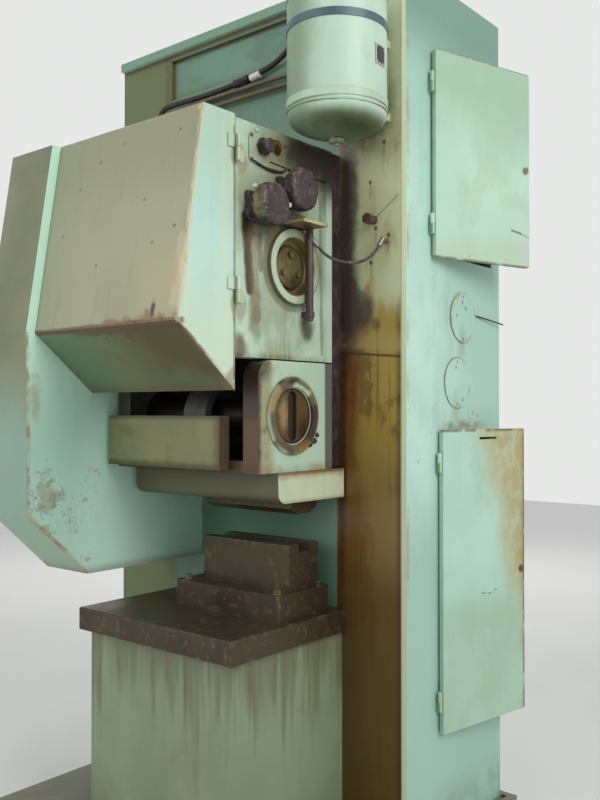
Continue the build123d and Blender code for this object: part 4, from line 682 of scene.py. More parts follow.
def paint_ram():
    """The ram: mint right cheek, brown front edge, and a beam dull with oil mist."""
    skin = enamel("ram_enamel", (172, 198, 176), (182, 206, 184), grime=0.6, wear=0.8)
    x = RAM_RIGHT
    front = skin.facing_y.ease(-0.4, -0.8)
    side = skin.facing_x.ease(0.4, 0.8)
    smear = skin.noise(6.0, 7, (1, 1, 0.6), 63, 0.6)
    skin.lay((116, 120, 86), front)
    skin.lay((130, 127, 88), front * smear.ease(0.44, 0.64) * 0.7)
    skin.lay((100, 88, 54), front * skin.noise(11, 6, seed=64).ease(0.54, 0.70) * 0.5, GREASY)
    skin.lay((70, 58, 34), front * (skin.z + skin.ragged * 0.02).ease(1.432, 1.404) * 0.85, OILY)
    skin.lay(OIL_BROWN, front * skin.x.ease(0.31, 0.37) * 0.9, WET)
    skin.lay(OIL_BLACK_AND_SHADE, front * skin.z.ease(1.560, 1.578) * 0.6, GREASY)
    tan = side * (skin.y + (smear - 0.5) * 0.10).ease(-0.360, -0.405)
    skin.lay((146, 142, 104), tan * 0.85, OILY)
    skin.lay((118, 92, 56), tan * skin.noise(18, 6, seed=65).ease(0.48, 0.60) * 0.7, WET)
    skin.lay((62, 44, 30), side * (skin.y + skin.ragged * 0.02).ease(-0.430, -0.450) * 0.9, WET)
    pool = skin.spot((x, -0.428, 1.735), (0.08, 0.060, 0.060), 0.8, 0.2)
    skin.lay((58, 44, 38), side * pool * 0.85, WET)
    skin.lay((150, 142, 108), side * smear.ease(0.54, 0.66) * skin.y.ease(-0.20, -0.36) * 0.5, WET)
    skin.lay(OIL_AMBER, side * skin.z.ease(1.430, 1.400) * smear.ease(0.42, 0.56) * 0.5, WET)
    skin.lay(OIL_BROWN, skin.facing_z.ease(-0.3, -0.8) * 0.85, OILY)
    # Painted shade with oil: black inside the ram's open body.
    inside = skin.x.ease(0.43, 0.41) * skin.y.ease(-0.458, -0.450)
    skin.lay(OIL_BLACK_AND_SHADE, inside * 0.85, OILY)
    skin.lay(PLUM_DARK, skin.y.ease(-0.104, -0.098) * 0.8, WET)
    return skin.seal()


def paint_holder():
    """The punch holder: cream-mint end, oil on its top line, and darkened underneath and in front by
    grime and painted shade.
    """
    skin = enamel("holder_enamel", (186, 198, 168), (196, 204, 174), grime=0.4, wear=0.9)
    side = skin.facing_x.ease(0.4, 0.8)
    # Painted shade with grime: every face but the right end is darkened.
    skin.lay((72, 66, 42), (1.0 - side) * 0.92, GREASY)
    skin.lay(OIL_BROWN, side * (skin.z + skin.ragged * 0.01).ease(1.374, 1.386) * 0.85, OILY)
    arc = skin.ring(-0.19, 1.338, 0.184, 0.006)
    skin.lay(RUST_PALE, side * arc * skin.grain.ease(0.46, 0.58) * 0.6)
    skin.lay(OIL_AMBER, side * (skin.z + skin.ragged * 0.03).ease(1.358, 1.376) * 0.45, OILY)
    skin.lay((150, 138, 96), side * skin.z.ease(1.302, 1.288) * 0.6, SATIN)
    return skin.seal()


def paint_pin():
    """The wrist pin's end: oily tan steel, with painted shade making its slot and the pin below its face
    black.
    """
    skin = steel("pin_steel", (104, 82, 50), (72, 54, 32), 0.38, 0.7, (2, 60, 60), 0.35)
    x = RAM_RIGHT
    rubbed = skin.spot((x, CRANK_Y - 0.045, PIN_Z + 0.01), (0.05, 0.034, 0.085), 1.3, 0.2)
    skin.lay((160, 138, 92), rubbed * 0.85)
    oiled = skin.spot((x, CRANK_Y + 0.06, PIN_Z - 0.05), (0.05, 0.05, 0.06), 1.3, 0.2)
    skin.lay(OIL_BLACK_AND_SHADE, oiled * 0.75, WET)
    # Painted shadow in the gap between the pin and its ring.
    skin.lay(OIL_BLACK_AND_SHADE, skin.ring(CRANK_Y, PIN_Z, 0.095, 0.012) * 0.8, GREASY)
    # Painted shade: black on all that lies deeper than the pin's face, in the slot and round the pin.
    skin.lay((26, 19, 14), skin.x.ease(x - 0.004, x - 0.010) * 0.95, SATIN, 0.0)
    return skin.seal()


def paint_ring():
    """The pin's retaining ring: mint outside, oily brown towards its bore, with a painted highlight on
    its upper right.
    """
    skin = enamel("ring_enamel", (160, 180, 152), (140, 148, 112), grime=0.9, wear=0.9)
    x = RAM_RIGHT
    skin.lay((76, 56, 34), skin.ring(CRANK_Y, PIN_Z, 0.100, 0.034) * 0.9, WET)
    skin.lay((110, 102, 74), skin.blot.ease(0.42, 0.54) * 0.7, OILY)
    skin.lay(OIL_BROWN, skin.blot.ease(0.50, 0.60) * 0.55, OILY)
    smears_and_highlight = (
        ((-0.120, 0.030), (-0.085, 0.085), 0.026, (158, 138, 96), 0.75),
        ((-0.070, 0.112), (0.020, 0.124), 0.018, OIL_BLACK_AND_SHADE, 0.90),
        # Painted highlight on the ring's upper right.
        ((0.010, 0.100), (0.075, 0.075), 0.022, (184, 204, 178), 0.85),
        ((0.110, 0.020), (0.085, -0.085), 0.030, PLUM_DARK, 0.90),
        ((-0.090, -0.085), (-0.010, -0.122), 0.020, OIL_BROWN, 0.90),
        ((0.030, -0.115), (0.075, -0.095), 0.020, OIL_AMBER, 0.75),
    )
    for (y0, z0), (y1, z1), width, tone, strength in smears_and_highlight:
        start, end = (x, CRANK_Y + y0, PIN_Z + z0), (x, CRANK_Y + y1, PIN_Z + z1)
        skin.lay(tone, skin.stroke(start, end, width, 1.2) * strength, OILY)
    return skin.seal()


def paint_housings():
    """Bearing housings: pale flange on the right, oily yellow inside the port."""
    skin = enamel("housing_enamel", (168, 186, 160), (180, 196, 170), grime=0.8, wear=0.9)
    inner = skin.from_axis(CRANK_Y, CRANK_Z).ease(0.104, 0.098)
    skin.lay((122, 114, 62), inner * 0.95, WET)
    skin.lay(OIL_BROWN, inner * skin.z.ease(CRANK_Z - 0.03, CRANK_Z - 0.09) * 0.7, SLICK)
    skin.lay((132, 122, 84), skin.blot.ease(0.48, 0.60) * 0.5, OILY)
    skin.lay((70, 50, 30), skin.ring(CRANK_Y, CRANK_Z, 0.1285, 0.004) * 0.8, GREASY)
    return skin.seal()


def paint_upper_door():
    """The upper door: clean mint, darker and greener above as painted shade, rubbed in patches, with a
    scratch by its free edge.
    """
    skin = enamel("upper_door_enamel", (178, 210, 190), (186, 217, 197), grime=0.2, wear=0.5)
    rub = skin.noise(3.4, 6, (1, 1.4, 0.9), 55, 0.6)
    # Painted shade: darker and greener towards the top.
    skin.lay((152, 184, 158), (skin.z + (rub - 0.5) * 0.5).ease(2.44, 2.78) * 0.85)
    skin.lay((172, 198, 172), rub.ease(0.52, 0.60) * rub.ease(0.68, 0.60) * 0.55)
    skin.lay((176, 190, 150), (skin.z + (rub - 0.5) * 0.4).ease(2.28, 2.16) * 0.35)
    hinge, latch = Vector((0.77, 0.186, 0)), Vector((0.915, 0.652, 0))
    across = (latch - hinge).normalized()

    def on_door(along, z):
        """A point on the door as it stands ajar, this far from its hinge."""
        return hinge + across * along + Vector((0, 0, z))

    start, turn, end = on_door(0.388, 2.292), on_door(0.438, 2.284), on_door(0.483, 2.272)
    skin.lay((70, 50, 38), skin.stroke(start, turn, 0.0085, 0.7) * 0.9, CHALKY)
    skin.lay((86, 62, 48), skin.stroke(turn, end, 0.0075, 0.7) * 0.8)
    patches = ((0.44, 2.55, 0.04, 0.4), (0.16, 2.172, 0.10, 0.5), (0.36, 2.178, 0.07, 0.5))
    for along, z, wide, cover in patches:
        chips = skin.fleck(on_door(along, z), (wide, wide, wide * 0.3), 0.009, cover, along * 9)
        skin.lay(RUST_PALE, chips * 0.5, DULL)
    skin.lay((196, 190, 196), skin.spot(on_door(0.45, 2.22), (0.03, 0.03, 0.07), 0.8) * 0.5)
    frame_line = skin.z.ease(2.163, 2.157).most(skin.z.ease(2.904, 2.909))
    skin.lay((112, 98, 74), frame_line * skin.grain.ease(0.38, 0.5) * 0.75, CHALKY)
    skin.raise_by(skin.noise(3.0, 3, seed=57) * 2.0)
    return skin.seal()


def paint_lower_door():
    """The lower door: turquoise-mint, with a tan stain over its upper free half and down its edge."""
    skin = enamel("lower_door_enamel", (170, 208, 190), (179, 215, 197), grime=0.35, wear=0.8)
    cloudy = skin.noise(4.6, 7, (1, 1, 0.7), 71, 0.62)
    fine = skin.noise(24, 6, (1, 1, 0.8), 72)
    reach = skin.y + skin.z * 0.35 + (cloudy - 0.5) * 0.28 + (fine - 0.5) * 0.05
    stain = reach.ease(0.890, 1.015)
    skin.lay((178, 172, 124), stain * 0.70, SATIN)
    skin.lay((168, 152, 104), stain * reach.ease(0.96, 1.09) * fine.ease(0.38, 0.58) * 0.70, SATIN)
    skin.lay((150, 120, 78), skin.y.ease(0.660, 0.692) * cloudy.ease(0.44, 0.56) * 0.5, SATIN)
    skin.lay((154, 180, 154), skin.z.ease(0.98, 0.80) * (0.45 + cloudy.ease(0.40, 0.62) * 0.3))
    for y, z in ((0.455, 0.905), (0.492, 0.900), (0.524, 0.910)):
        skin.lay(RUST_DARK_AND_SHADE, skin.spot((0.82, y, z), (0.1, 0.016, 0.0045), 1.2) * 0.6, DRY)
    edges = skin.z.ease(1.514, 1.523).most(skin.y.ease(0.691, 0.697))
    skin.lay((104, 80, 58), edges * skin.grain.ease(0.36, 0.50) * 0.8, DRY)
    skin.raise_by(skin.noise(3.0, 3, seed=58) * 2.0)
    return skin.seal()


def paint_receiver():
    """The air receiver: pale mint, two brown lines at its lower seam, a belly darkened by oil and painted
    shade, and painted shade on the side turned from the light.
    """
    skin = enamel("receiver_enamel", (172, 199, 181), (182, 209, 191), grime=0.30, wear=0.5)
    smear = skin.noise(5.0, 6, (1, 1, 0.5), 66, 0.6)
    skin.lay((152, 168, 140), smear.ease(0.52, 0.64) * 0.5)
    for z, width in ((2.596, 0.0030), (2.609, 0.0022), (2.975, 0.0026)):
        line = abs(skin.z - z).ease(width, width * 0.4)
        skin.lay((110, 88, 66), line * smear.ease(0.38, 0.52) * 0.85)
    # Painted shade with oil: the lower dome darkens to olive towards its bottom.
    belly = skin.z + (smear - 0.5) * 0.03
    skin.lay((92, 106, 62), belly.ease(2.592, 2.556) * 0.88, SATIN)
    skin.lay((40, 42, 10), belly.ease(2.570, 2.536) * 0.94, SATIN)
    skin.lay((120, 124, 94), skin.z.ease(2.519, 2.515) * 0.85)
    # Painted shade on the side turned away from the lamps.
    skin.lay((130, 152, 126), skin.facing_x.ease(0.45, -0.25) * (0.6 + smear.ease(0.40, 0.56) * 0.35))
    return skin.seal()


def paint_bands():
    """Receiver straps: blue-grey above, painted with the vessel below."""
    skin = enamel("band_enamel", (178, 200, 178), (166, 186, 160), grime=0.7, wear=0.9)
    skin.lay((72, 98, 104), skin.z.ease(2.72, 2.78), GREASY)
    skin.lay((52, 66, 70), skin.z.ease(2.72, 2.78) * skin.grain.ease(0.46, 0.6) * 0.5, SATIN)
    return skin.seal()


def paint_valves():
    """Dark castings caked with oil and dust."""
    skin = Finish("valve_iron", (56, 43, 44), 0.38)
    cake = skin.noise(30, 6, seed=7)
    skin.lay((84, 68, 70), cake.ease(0.50, 0.62) * 0.7, DULL)
    skin.lay(OIL_BLACK_AND_SHADE, skin.noise(15, 5, seed=14).ease(0.50, 0.62) * 0.85, SLICK)
    flank = skin.y.ease(-0.512, -0.536) * skin.z.ease(2.320, 2.290)
    skin.lay((112, 108, 68), flank * (0.4 + cake.ease(0.42, 0.55) * 0.6), SATIN)
    skin.lay((132, 116, 96), skin.facing_z.ease(0.45, 0.85) * cake.ease(0.45, 0.56) * 0.7, DRY)
    skin.raise_by(cake * 1.2 + skin.noise(90, 4, seed=6) * 0.4)
    return skin.seal()


def paint_shelf():
    """The valve shelf: old cream paint, soaked brown on its left and black below."""
    skin = enamel("shelf_cream", (172, 162, 112), (190, 180, 132), grime=0.9, wear=0.9)
    skin.lay(OIL_BROWN, skin.x.ease(0.54, 0.50) * 0.75, OILY)
    skin.lay((96, 82, 48), skin.blot.ease(0.48, 0.60) * 0.6, GREASY)
    skin.lay(OIL_BLACK_AND_SHADE, skin.facing_z.ease(-0.3, -0.8) * 0.7, GREASY)
    return skin.seal()


def paint_grease(name, colour, over, gloss=0.3):
    """Greased iron: one dark tone with lumps of old grease."""
    skin = Finish(name, colour, gloss)
    lump = skin.noise(42, 5, (1, 1, 0.5), 27)
    skin.lay(over, lump.ease(0.48, 0.62) * 0.7, gloss + 0.25)
    skin.lay(OIL_BLACK_AND_SHADE, skin.noise(9, 4, (1, 1, 0.3), 33).ease(0.48, 0.62) * 0.6, 0.2)
    skin.raise_by(lump * 0.7)
    return skin.seal()


def paint_tool_steel():
    """Punch and dies: dark oily steel, bright on the rubbed edges, with scale and chips."""
    skin = Finish("tool_steel", (78, 68, 54), 0.38, 0.6)
    scale = skin.noise(38, 6, seed=77)
    film = skin.noise(3.0, 6, seed=78)
    skin.lay((54, 44, 34), film.ease(0.44, 0.60) * 0.8, SLICK, 0.3)
    skin.lay((112, 92, 62), scale.ease(0.54, 0.66) * 0.5, SATIN, 0.2)
    skin.lay((150, 140, 122), skin.rim() * scale.ease(0.42, 0.56) * 0.8, SLICK, 0.9)
    skin.lay((92, 66, 46), skin.noise(16, 6, seed=79).ease(0.56, 0.70) * 0.25, DULL, 0.1)
    skin.raise_by(scale * 0.3)
    return skin.seal()


def paint_crank_end():
    """The end plate in the port, under thick yellow-green oil."""
    skin = steel("oiled_plate", (112, 106, 66), (84, 78, 46), 0.3, 0.7, (40, 8, 8), 0.3)
    pool = skin.spot((0.47, CRANK_Y + 0.02, CRANK_Z - 0.05), (0.06, 0.06, 0.04), 1.2, 0.2)
    skin.lay((70, 56, 36), pool * 0.8)
    skin.lay((60, 48, 30), skin.ring(CRANK_Y, CRANK_Z, 0.072, 0.008) * 0.8)
    return skin.seal()


def paint_rubber(name, colour, dusty):
    """Old rubber with dust on its upper side."""
    skin = Finish(name, colour, 0.6)
    dust = skin.noise(30, 5, seed=15)
    skin.lay(dusty, dust.ease(0.46, 0.66) * 0.6, CHALKY)
    skin.lay(dusty, skin.facing_z.ease(0.2, 0.9) * 0.4, 0.85)
    skin.raise_by(dust * 0.3)
    return skin.seal()


def paint_plastic(name, colour, pale):
    """Moulded plastic with a fine grain, and grime on what faces up."""
    skin = Finish(name, colour, 0.45)
    skin.lay(pale, skin.noise(20, 5, seed=19).ease(0.5, 0.7) * 0.35, DULL)
    skin.lay(GRIME, skin.facing_z.ease(0.4, 0.9) * 0.35, CHALKY)
    skin.raise_by(skin.noise(400, 2, seed=20) * 0.06)
    return skin.seal()


def paint_belts():
    """Belt rubber, greyed by dust and striped along the belt."""
    skin = Finish("belt_rubber", (38, 37, 36), 0.7)
    skin.lay((78, 74, 68), skin.noise(24, 5, seed=25).ease(0.5, 0.7) * 0.5, 0.85)
    skin.raise_by(skin.noise(300, 2, (0.3, 1, 1), 26) * 0.15)
    return skin.seal()


def cast_iron(name, colour, dark):
    """Rough grey iron with pits and a little rust."""
    skin = Finish(name, colour, 0.55, 0.35)
    skin.lay(dark, skin.noise(8, 5, seed=45).ease(0.42, 0.64) * 0.7, DULL)
    skin.lay(RUST, skin.noise(15, 6, seed=46).ease(0.60, 0.70) * 0.5, CHALKY, 0.0)
    skin.raise_by(skin.noise(160, 3, seed=44) * 0.25)
    return skin.seal()


def paint_bed():
    """The bed below the die: dull green, streaked by oil from the bolster."""
    skin = enamel("bed_enamel", (118, 136, 108), (130, 148, 120), grime=0.9, wear=0.9)
    wet = (skin.z + (skin.hang - 0.5) * 1.1).ease(0.52, 0.80)
    skin.lay((88, 78, 50), wet * 0.5, OILY)
    skin.lay(OIL_BROWN, wet * skin.noise(1.0, 5, (34, 34, 1.2), 81).ease(0.50, 0.64) * 0.35, WET)
    skin.lay((82, 76, 52), skin.z.ease(0.34, 0.04) * skin.blot.ease(0.34, 0.66) * 0.7, SATIN)
    skin.lay(RUST_DARK_AND_SHADE, skin.fleck((0, -0.55, 0.10), (0.8, 0.5, 0.12), 0.022, 0.5, 82) * 0.7, CHALKY)
    return skin.seal()


def dress(material, *names):
    """Gives a finish to CAD nodes."""
    for name in names:
        for place in NODES[name].material_slots:
            place.material = material


COLUMN_ENAMEL = paint_column_sides()
HEAD_ENAMEL = paint_cheeks()
RAM_ENAMEL = paint_ram()
INNER_ENAMEL = enamel("inner_enamel", (150, 166, 142), (162, 176, 152), grime=0.9, wear=0.4).seal()
BED_ENAMEL = paint_bed()
ZINC = steel("zinc", (150, 152, 148), (108, 110, 106), 0.4, 0.35, (1, 1, 30)).seal()
BRIGHT_STEEL = steel("turned_steel", (150, 146, 138), (96, 90, 82), 0.3, 0.45, (200, 4, 4)).seal()
SLIDE_GREASE = paint_grease("slide_grease", PLUM_DARK, (88, 70, 70))
PIPE_GREASE = paint_grease("pipe_grease", (66, 52, 52), (100, 84, 76), 0.4)
TOOL_STEEL = paint_tool_steel()
GREY_IRON = cast_iron("grey_iron", (110, 108, 104), (72, 70, 66))
VALVE_IRON = paint_valves()
HOSE_RUBBER = paint_rubber("hose_rubber", (66, 54, 58), (128, 116, 104))
CABLE_RUBBER = paint_rubber("cable_rubber", (34, 32, 28), (62, 58, 44))
BLACK_PLASTIC = paint_plastic("black_plastic", (44, 42, 44), (92, 88, 86))
PALE_PLASTIC = paint_plastic("pale_plastic", (226, 216, 214), (196, 186, 178))
BRASS = steel("oiled_brass", (128, 90, 44), (84, 58, 30), 0.35, 0.4, (8, 8, 8), 0.7).seal()
PIPE_PAINT = steel("brown_pipe", (112, 96, 70), (78, 66, 48), 0.5, 0.5, (2, 40, 40), 0.1).seal()
PALE_FITTING = enamel("pale_fitting", (172, 190, 176), (186, 200, 188), grime=0.8, wear=0.9).seal()
PLATE_STEEL = steel("plate_steel", (58, 62, 60), (40, 42, 42), 0.4, 0.2, (2, 60, 2), 0.4).seal()
LOCK_STEEL = cast_iron("lock_steel", (150, 138, 108), (112, 100, 76))
SCREW_STEEL = cast_iron("screw_steel", (108, 96, 78), (64, 52, 42))

dress(
    COLUMN_ENAMEL,
    "column_left_plate", "column_right_plate", "column_rear_plate", "column_top_plate", "rear_cover",
    "side_covers", "receiver_brackets", "hinge_pins",
)
dress(paint_column_front(), "column_front_plate")
dress(paint_recess(), "recess_panel")
dress(INNER_ENAMEL, "frame_ribs", "cabinet_shelves", "motor_shelf")
dress(BED_ENAMEL, "base_plate", "bed_sides", "bed_apron")
dress(paint_upper_door(), "upper_door")
dress(paint_lower_door(), "lower_door")
dress(ZINC, "mounting_plates", "hose_fittings")
dress(LOCK_STEEL, "upper_door_lock")
dress(SCREW_STEEL, "lower_door_lock")
dress(HEAD_ENAMEL, "head_cheek_left", "head_cheek_right", "head_roof", "cheek_hatch")
dress(paint_hood(), "front_hood")
dress(paint_guard(), "flywheel_guard")
dress(RAM_ENAMEL, "ram_body")
dress(paint_holder(), "punch_holder")
dress(paint_pin(), "wrist_pin")
dress(paint_ring(), "pin_ring")
dress(paint_housings(), "bearing_housings")
dress(paint_crank_end(), "crank_end_plate")
dress(BRIGHT_STEEL, "crankshaft", "motor_shaft")
dress(SLIDE_GREASE, "slide_rails")
dress(TOOL_STEEL, "punch_block", "die_shoe", "die_block", "bolster_plate")
dress(GREY_IRON, "connecting_rod", "clutch_disc", "flywheel", "motor_pulley")
dress(BRASS, "crank_bushes")
dress(enamel("motor_enamel", (104, 122, 124), (118, 134, 134), grime=0.7, wear=0.5).seal(), "drive_motor")
dress(paint_receiver(), "air_receiver")
dress(paint_bands(), "receiver_bands")
dress(VALVE_IRON, "air_valves", "cable_gland")
dress(paint_shelf(), "valve_shelf")
dress(PIPE_GREASE, "valve_pipe", "stop_valve", "stop_valve_knob")
dress(paint_belts(), "drive_belts")
dress(CABLE_RUBBER, "front_cable")
dress(PIPE_PAINT, "front_pipes")
dress(BLACK_PLASTIC, "switchgear")


# Building helpers
def settle(piece, body, material=None):
    """Puts a piece in the scene: its body, and its finish where it has none yet."""
    if piece.name not in bpy.context.scene.collection.objects:
        bpy.context.scene.collection.objects.link(piece)
    if material is not None:
        piece.data.materials.clear()
        piece.data.materials.append(material)
    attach(piece, body)
    return piece


def spline_curve(name, points, radius):
    """A round tube along one smooth NURBS spline with these control points."""
    curve = bpy.data.curves.new(name, "CURVE")
    curve.dimensions = "3D"
    curve.bevel_depth = radius
    curve.bevel_resolution = 6
    curve.use_fill_caps = True
    curve.resolution_u = 12
    spline = curve.splines.new("NURBS")
    spline.points.add(len(points) - 1)
    for control, point in zip(spline.points, points):
        control.co = (*point, 1)
    spline.order_u = 3
    spline.use_endpoint_u = True
    return bpy.data.objects.new(name, curve)


def turned(name, profile, centre, axis, sides):
    """A closed turned piece; its profile is pairs of a distance along the axis and a radius."""
    along = Vector(axis).normalized()
    across = along.orthogonal().normalized()
    other = along.cross(across)
    start = Vector(centre)
    work = bmesh.new()
    rings = []
    turns = [math.tau * k / sides for k in range(sides)]
    spokes = [across * math.cos(turn) + other * math.sin(turn) for turn in turns]
    for height, radius in profile:
        rings.append([work.verts.new(start + along * height + spoke * radius) for spoke in spokes])
    for low, high in zip(rings, rings[1:]):
        for k in range(sides):
            work.faces.new((low[k], low[(k + 1) % sides], high[(k + 1) % sides], high[k]))
    work.faces.new(rings[0][::-1])
    work.faces.new(rings[-1])
    for face in work.faces:
        face.smooth = len(face.verts) == 4
    return plain_piece(name, work)


def plain_piece(name, work):
    """An object from a bmesh whose faces are turned outwards."""
    bmesh.ops.recalc_face_normals(work, faces=work.faces)
    mesh = bpy.data.meshes.new(name)
    work.to_mesh(mesh)
    work.free()
    return bpy.data.objects.new(name, mesh)


def plain_mesh(piece):
    """The mesh that an object shows, with its bevel or its modifiers in it."""
    graph = bpy.context.evaluated_depsgraph_get()
    return bpy.data.meshes.new_from_object(piece.evaluated_get(graph))


def recast(name, mesh, grain):
    """A piece whose one closed skin has small even faces, ready to be roughened."""
    piece = bpy.data.objects.new(name, mesh)
    bpy.context.scene.collection.objects.link(piece)
    remesh = piece.modifiers.new("recast", "REMESH")
    remesh.mode = "VOXEL"
    remesh.voxel_size = grain
    result = plain_mesh(piece)
    piece.modifiers.remove(remesh)
    piece.data = result
    return piece


def roughen(piece, lump, size, seed):
    """Pushes every point along its normal by smooth noise, as on a sand casting caked with oil."""
    for vertex in piece.data.vertices:
        swell = noise.fractal(vertex.co / size + Vector((seed, 0, 0)), 0.8, 2.1, 3)
        vertex.co += vertex.normal * swell * lump
    for face in piece.data.polygons:
        face.use_smooth = True
    return piece


class Recipe:
    """A Geometry Nodes tree: its named inputs first, then its nodes, then the piece it grows."""

    def __init__(self, name, **values):
        self.name = name
        self.values = values
        self.tree = bpy.data.node_groups.new(name, "GeometryNodeTree")
        sockets = self.tree.interface
        sockets.new_socket("Geometry", in_out="INPUT", socket_type="NodeSocketGeometry")
        self.keys = {}
        for key, value in values.items():
            kind = "NodeSocketInt" if isinstance(value, int) else "NodeSocketFloat"
            self.keys[key] = sockets.new_socket(key, in_out="INPUT", socket_type=kind).identifier
        sockets.new_socket("Geometry", in_out="OUTPUT", socket_type="NodeSocketGeometry")
        self.given = self.tree.nodes.new("NodeGroupInput").outputs
        self.result = self.tree.nodes.new("NodeGroupOutput").inputs[0]

    def node(self, kind, settings, inputs, output=0):
        """Adds a node and gives one of its outputs."""
        return add_node(self.tree, kind, settings, inputs, output)

    def sum(self, operation, first, second):
        """One Math node on two sockets or values."""
        return self.node("ShaderNodeMath", {"operation": operation}, {0: first, 1: second})

    def chance(self, low, high):
        """A random value for each point or instance, drawn with the tree's own seed."""
        limits = {2: low, 3: high, "Seed": self.given["seed"]}
        return self.node("FunctionNodeRandomValue", {"data_type": "FLOAT"}, limits, 1)

    def lift(self, shape, height):
        """The shape raised along Z."""
        move = self.node("ShaderNodeCombineXYZ", {}, {"Z": height})
        return self.node("GeometryNodeTransform", {}, {"Geometry": shape, "Translation": move})

    def grow(self, last, carrier, material):
        """Closes the tree, runs it on the carrier mesh and gives the plain mesh that it makes."""
        real = self.node("GeometryNodeRealizeInstances", {}, {0: last})
        coated = self.node("GeometryNodeSetMaterial", {}, {"Geometry": real, "Material": material})
        self.tree.links.new(coated, self.result)
        piece = bpy.data.objects.new(self.name, carrier)
        bpy.context.scene.collection.objects.link(piece)
        modifier = piece.modifiers.new(self.name, "NODES")
        modifier.node_group = self.tree
        for key, value in self.values.items():
            modifier[self.keys[key]] = value
        result = plain_mesh(piece)
        piece.modifiers.remove(modifier)
        piece.data = result
        return piece


def grow_screws(name, places, material, reach, depth):
    """Hexagon screws with washers: places are pairs of a point and the way that its head faces."""
    carrier = bpy.data.meshes.new(name)
    carrier.from_pydata([tuple(point) for point, outward in places], [], [])
    facing = carrier.attributes.new("outward", "FLOAT_VECTOR", "POINT")
    for item, (point, outward) in zip(facing.data, places):
        item.vector = outward
    screws = Recipe(name, reach=reach, depth=depth, seed=1)
    size, high = screws.given["reach"], screws.given["depth"]

    def cone(top, bottom, height, corners=6):
        """A disc or a cut cone with this many corners."""
        sizes = {"Vertices": corners, "Radius Top": top, "Radius Bottom": bottom, "Depth": height}
        return screws.node("GeometryNodeMeshCone", {}, sizes)

    washer_top, washer_foot = (screws.sum("MULTIPLY", size, share) for share in (1.22, 1.32))
    washer_high = screws.sum("MULTIPLY", high, 0.2)
    washer = cone(washer_top, washer_foot, washer_high, 24)
    head = screws.lift(cone(size, size, high), washer_high)
    chamfer = cone(screws.sum("MULTIPLY", size, 0.84), size, screws.sum("MULTIPLY", high, 0.14))
    cap = screws.lift(chamfer, screws.sum("ADD", high, washer_high))
    whole = screws.node("GeometryNodeJoinGeometry", {}, {0: [washer, head, cap]})
    vector, local = {"data_type": "FLOAT_VECTOR"}, {"rotation_space": "LOCAL"}
    outward = screws.node("GeometryNodeInputNamedAttribute", vector, {"Name": "outward"})
    stance = screws.node("FunctionNodeAlignRotationToVector", {"axis": "Z"}, {"Vector": outward})
    spin = {"Axis": (0, 0, 1), "Angle": screws.chance(0.0, 1.05)}
    twist = screws.node("FunctionNodeAxisAngleToRotation", {}, spin)
    both = {"Rotation": stance, "Rotate By": twist}
    stance = screws.node("FunctionNodeRotateRotation", local, both)
    seats = {"Points": screws.given["Geometry"], "Instance": whole, "Rotation": stance}
    return screws.grow(screws.node("GeometryNodeInstanceOnPoints", {}, seats), carrier, material)


def grow_welds(name, runs, material):
    """Weld beads with ripples along runs of points."""
    points = [tuple(point) for run in runs for point in run]
    edges, first = [], 0
    for run in runs:
        edges += [(first + k, first + k + 1) for k in range(len(run) - 1)]
        first += len(run)
    carrier = bpy.data.meshes.new(name)
    carrier.from_pydata(points, edges, [])
    weld = Recipe(name, radius=0.005, ripple=0.16, pitch=0.004, seed=3)
    line = weld.node("GeometryNodeMeshToCurve", {}, {0: weld.given["Geometry"]})
    steps = {0: line, "Length": weld.given["pitch"]}
    even = weld.node("GeometryNodeResampleCurve", {"mode": "LENGTH"}, steps)
    beat = weld.sum("MODULO", weld.node("GeometryNodeInputIndex", {}, {}), 2.0)
    share = weld.sum("ADD", weld.sum("MULTIPLY", beat, weld.given["ripple"]), weld.chance(0.85, 1.1))
    swelling = weld.sum("MULTIPLY", share, weld.given["radius"])
    circle = weld.node("GeometryNodeCurvePrimitiveCircle", {}, {"Resolution": 8, "Radius": 1.0})
    sweep = {"Curve": even, "Profile Curve": circle, "Scale": swelling, "Fill Caps": True}
    return weld.grow(weld.node("GeometryNodeCurveToMesh", {}, sweep), carrier, material)


# Floor
def lay_floor():
    """A pale shop floor under the press."""
    skin = Finish("floor_screed", (214, 213, 209), 0.9)
    skin.lay((208, 207, 202), skin.noise(0.7, 5, seed=90).ease(0.42, 0.62) * 0.6)
    skin.lay((240, 239, 236), (skin.place * Vector((1, 1, 0))).length().ease(2.5, 7.0))
    skin.raise_by(skin.noise(60, 3, seed=91) * 0.2)
    work = bmesh.new()
    bmesh.ops.create_grid(work, x_segments=4, y_segments=4, size=FLOOR_HALF)
    floor = plain_piece("floor", work)
    bpy.context.scene.collection.objects.link(floor)
    floor.data.materials.append(skin.seal())


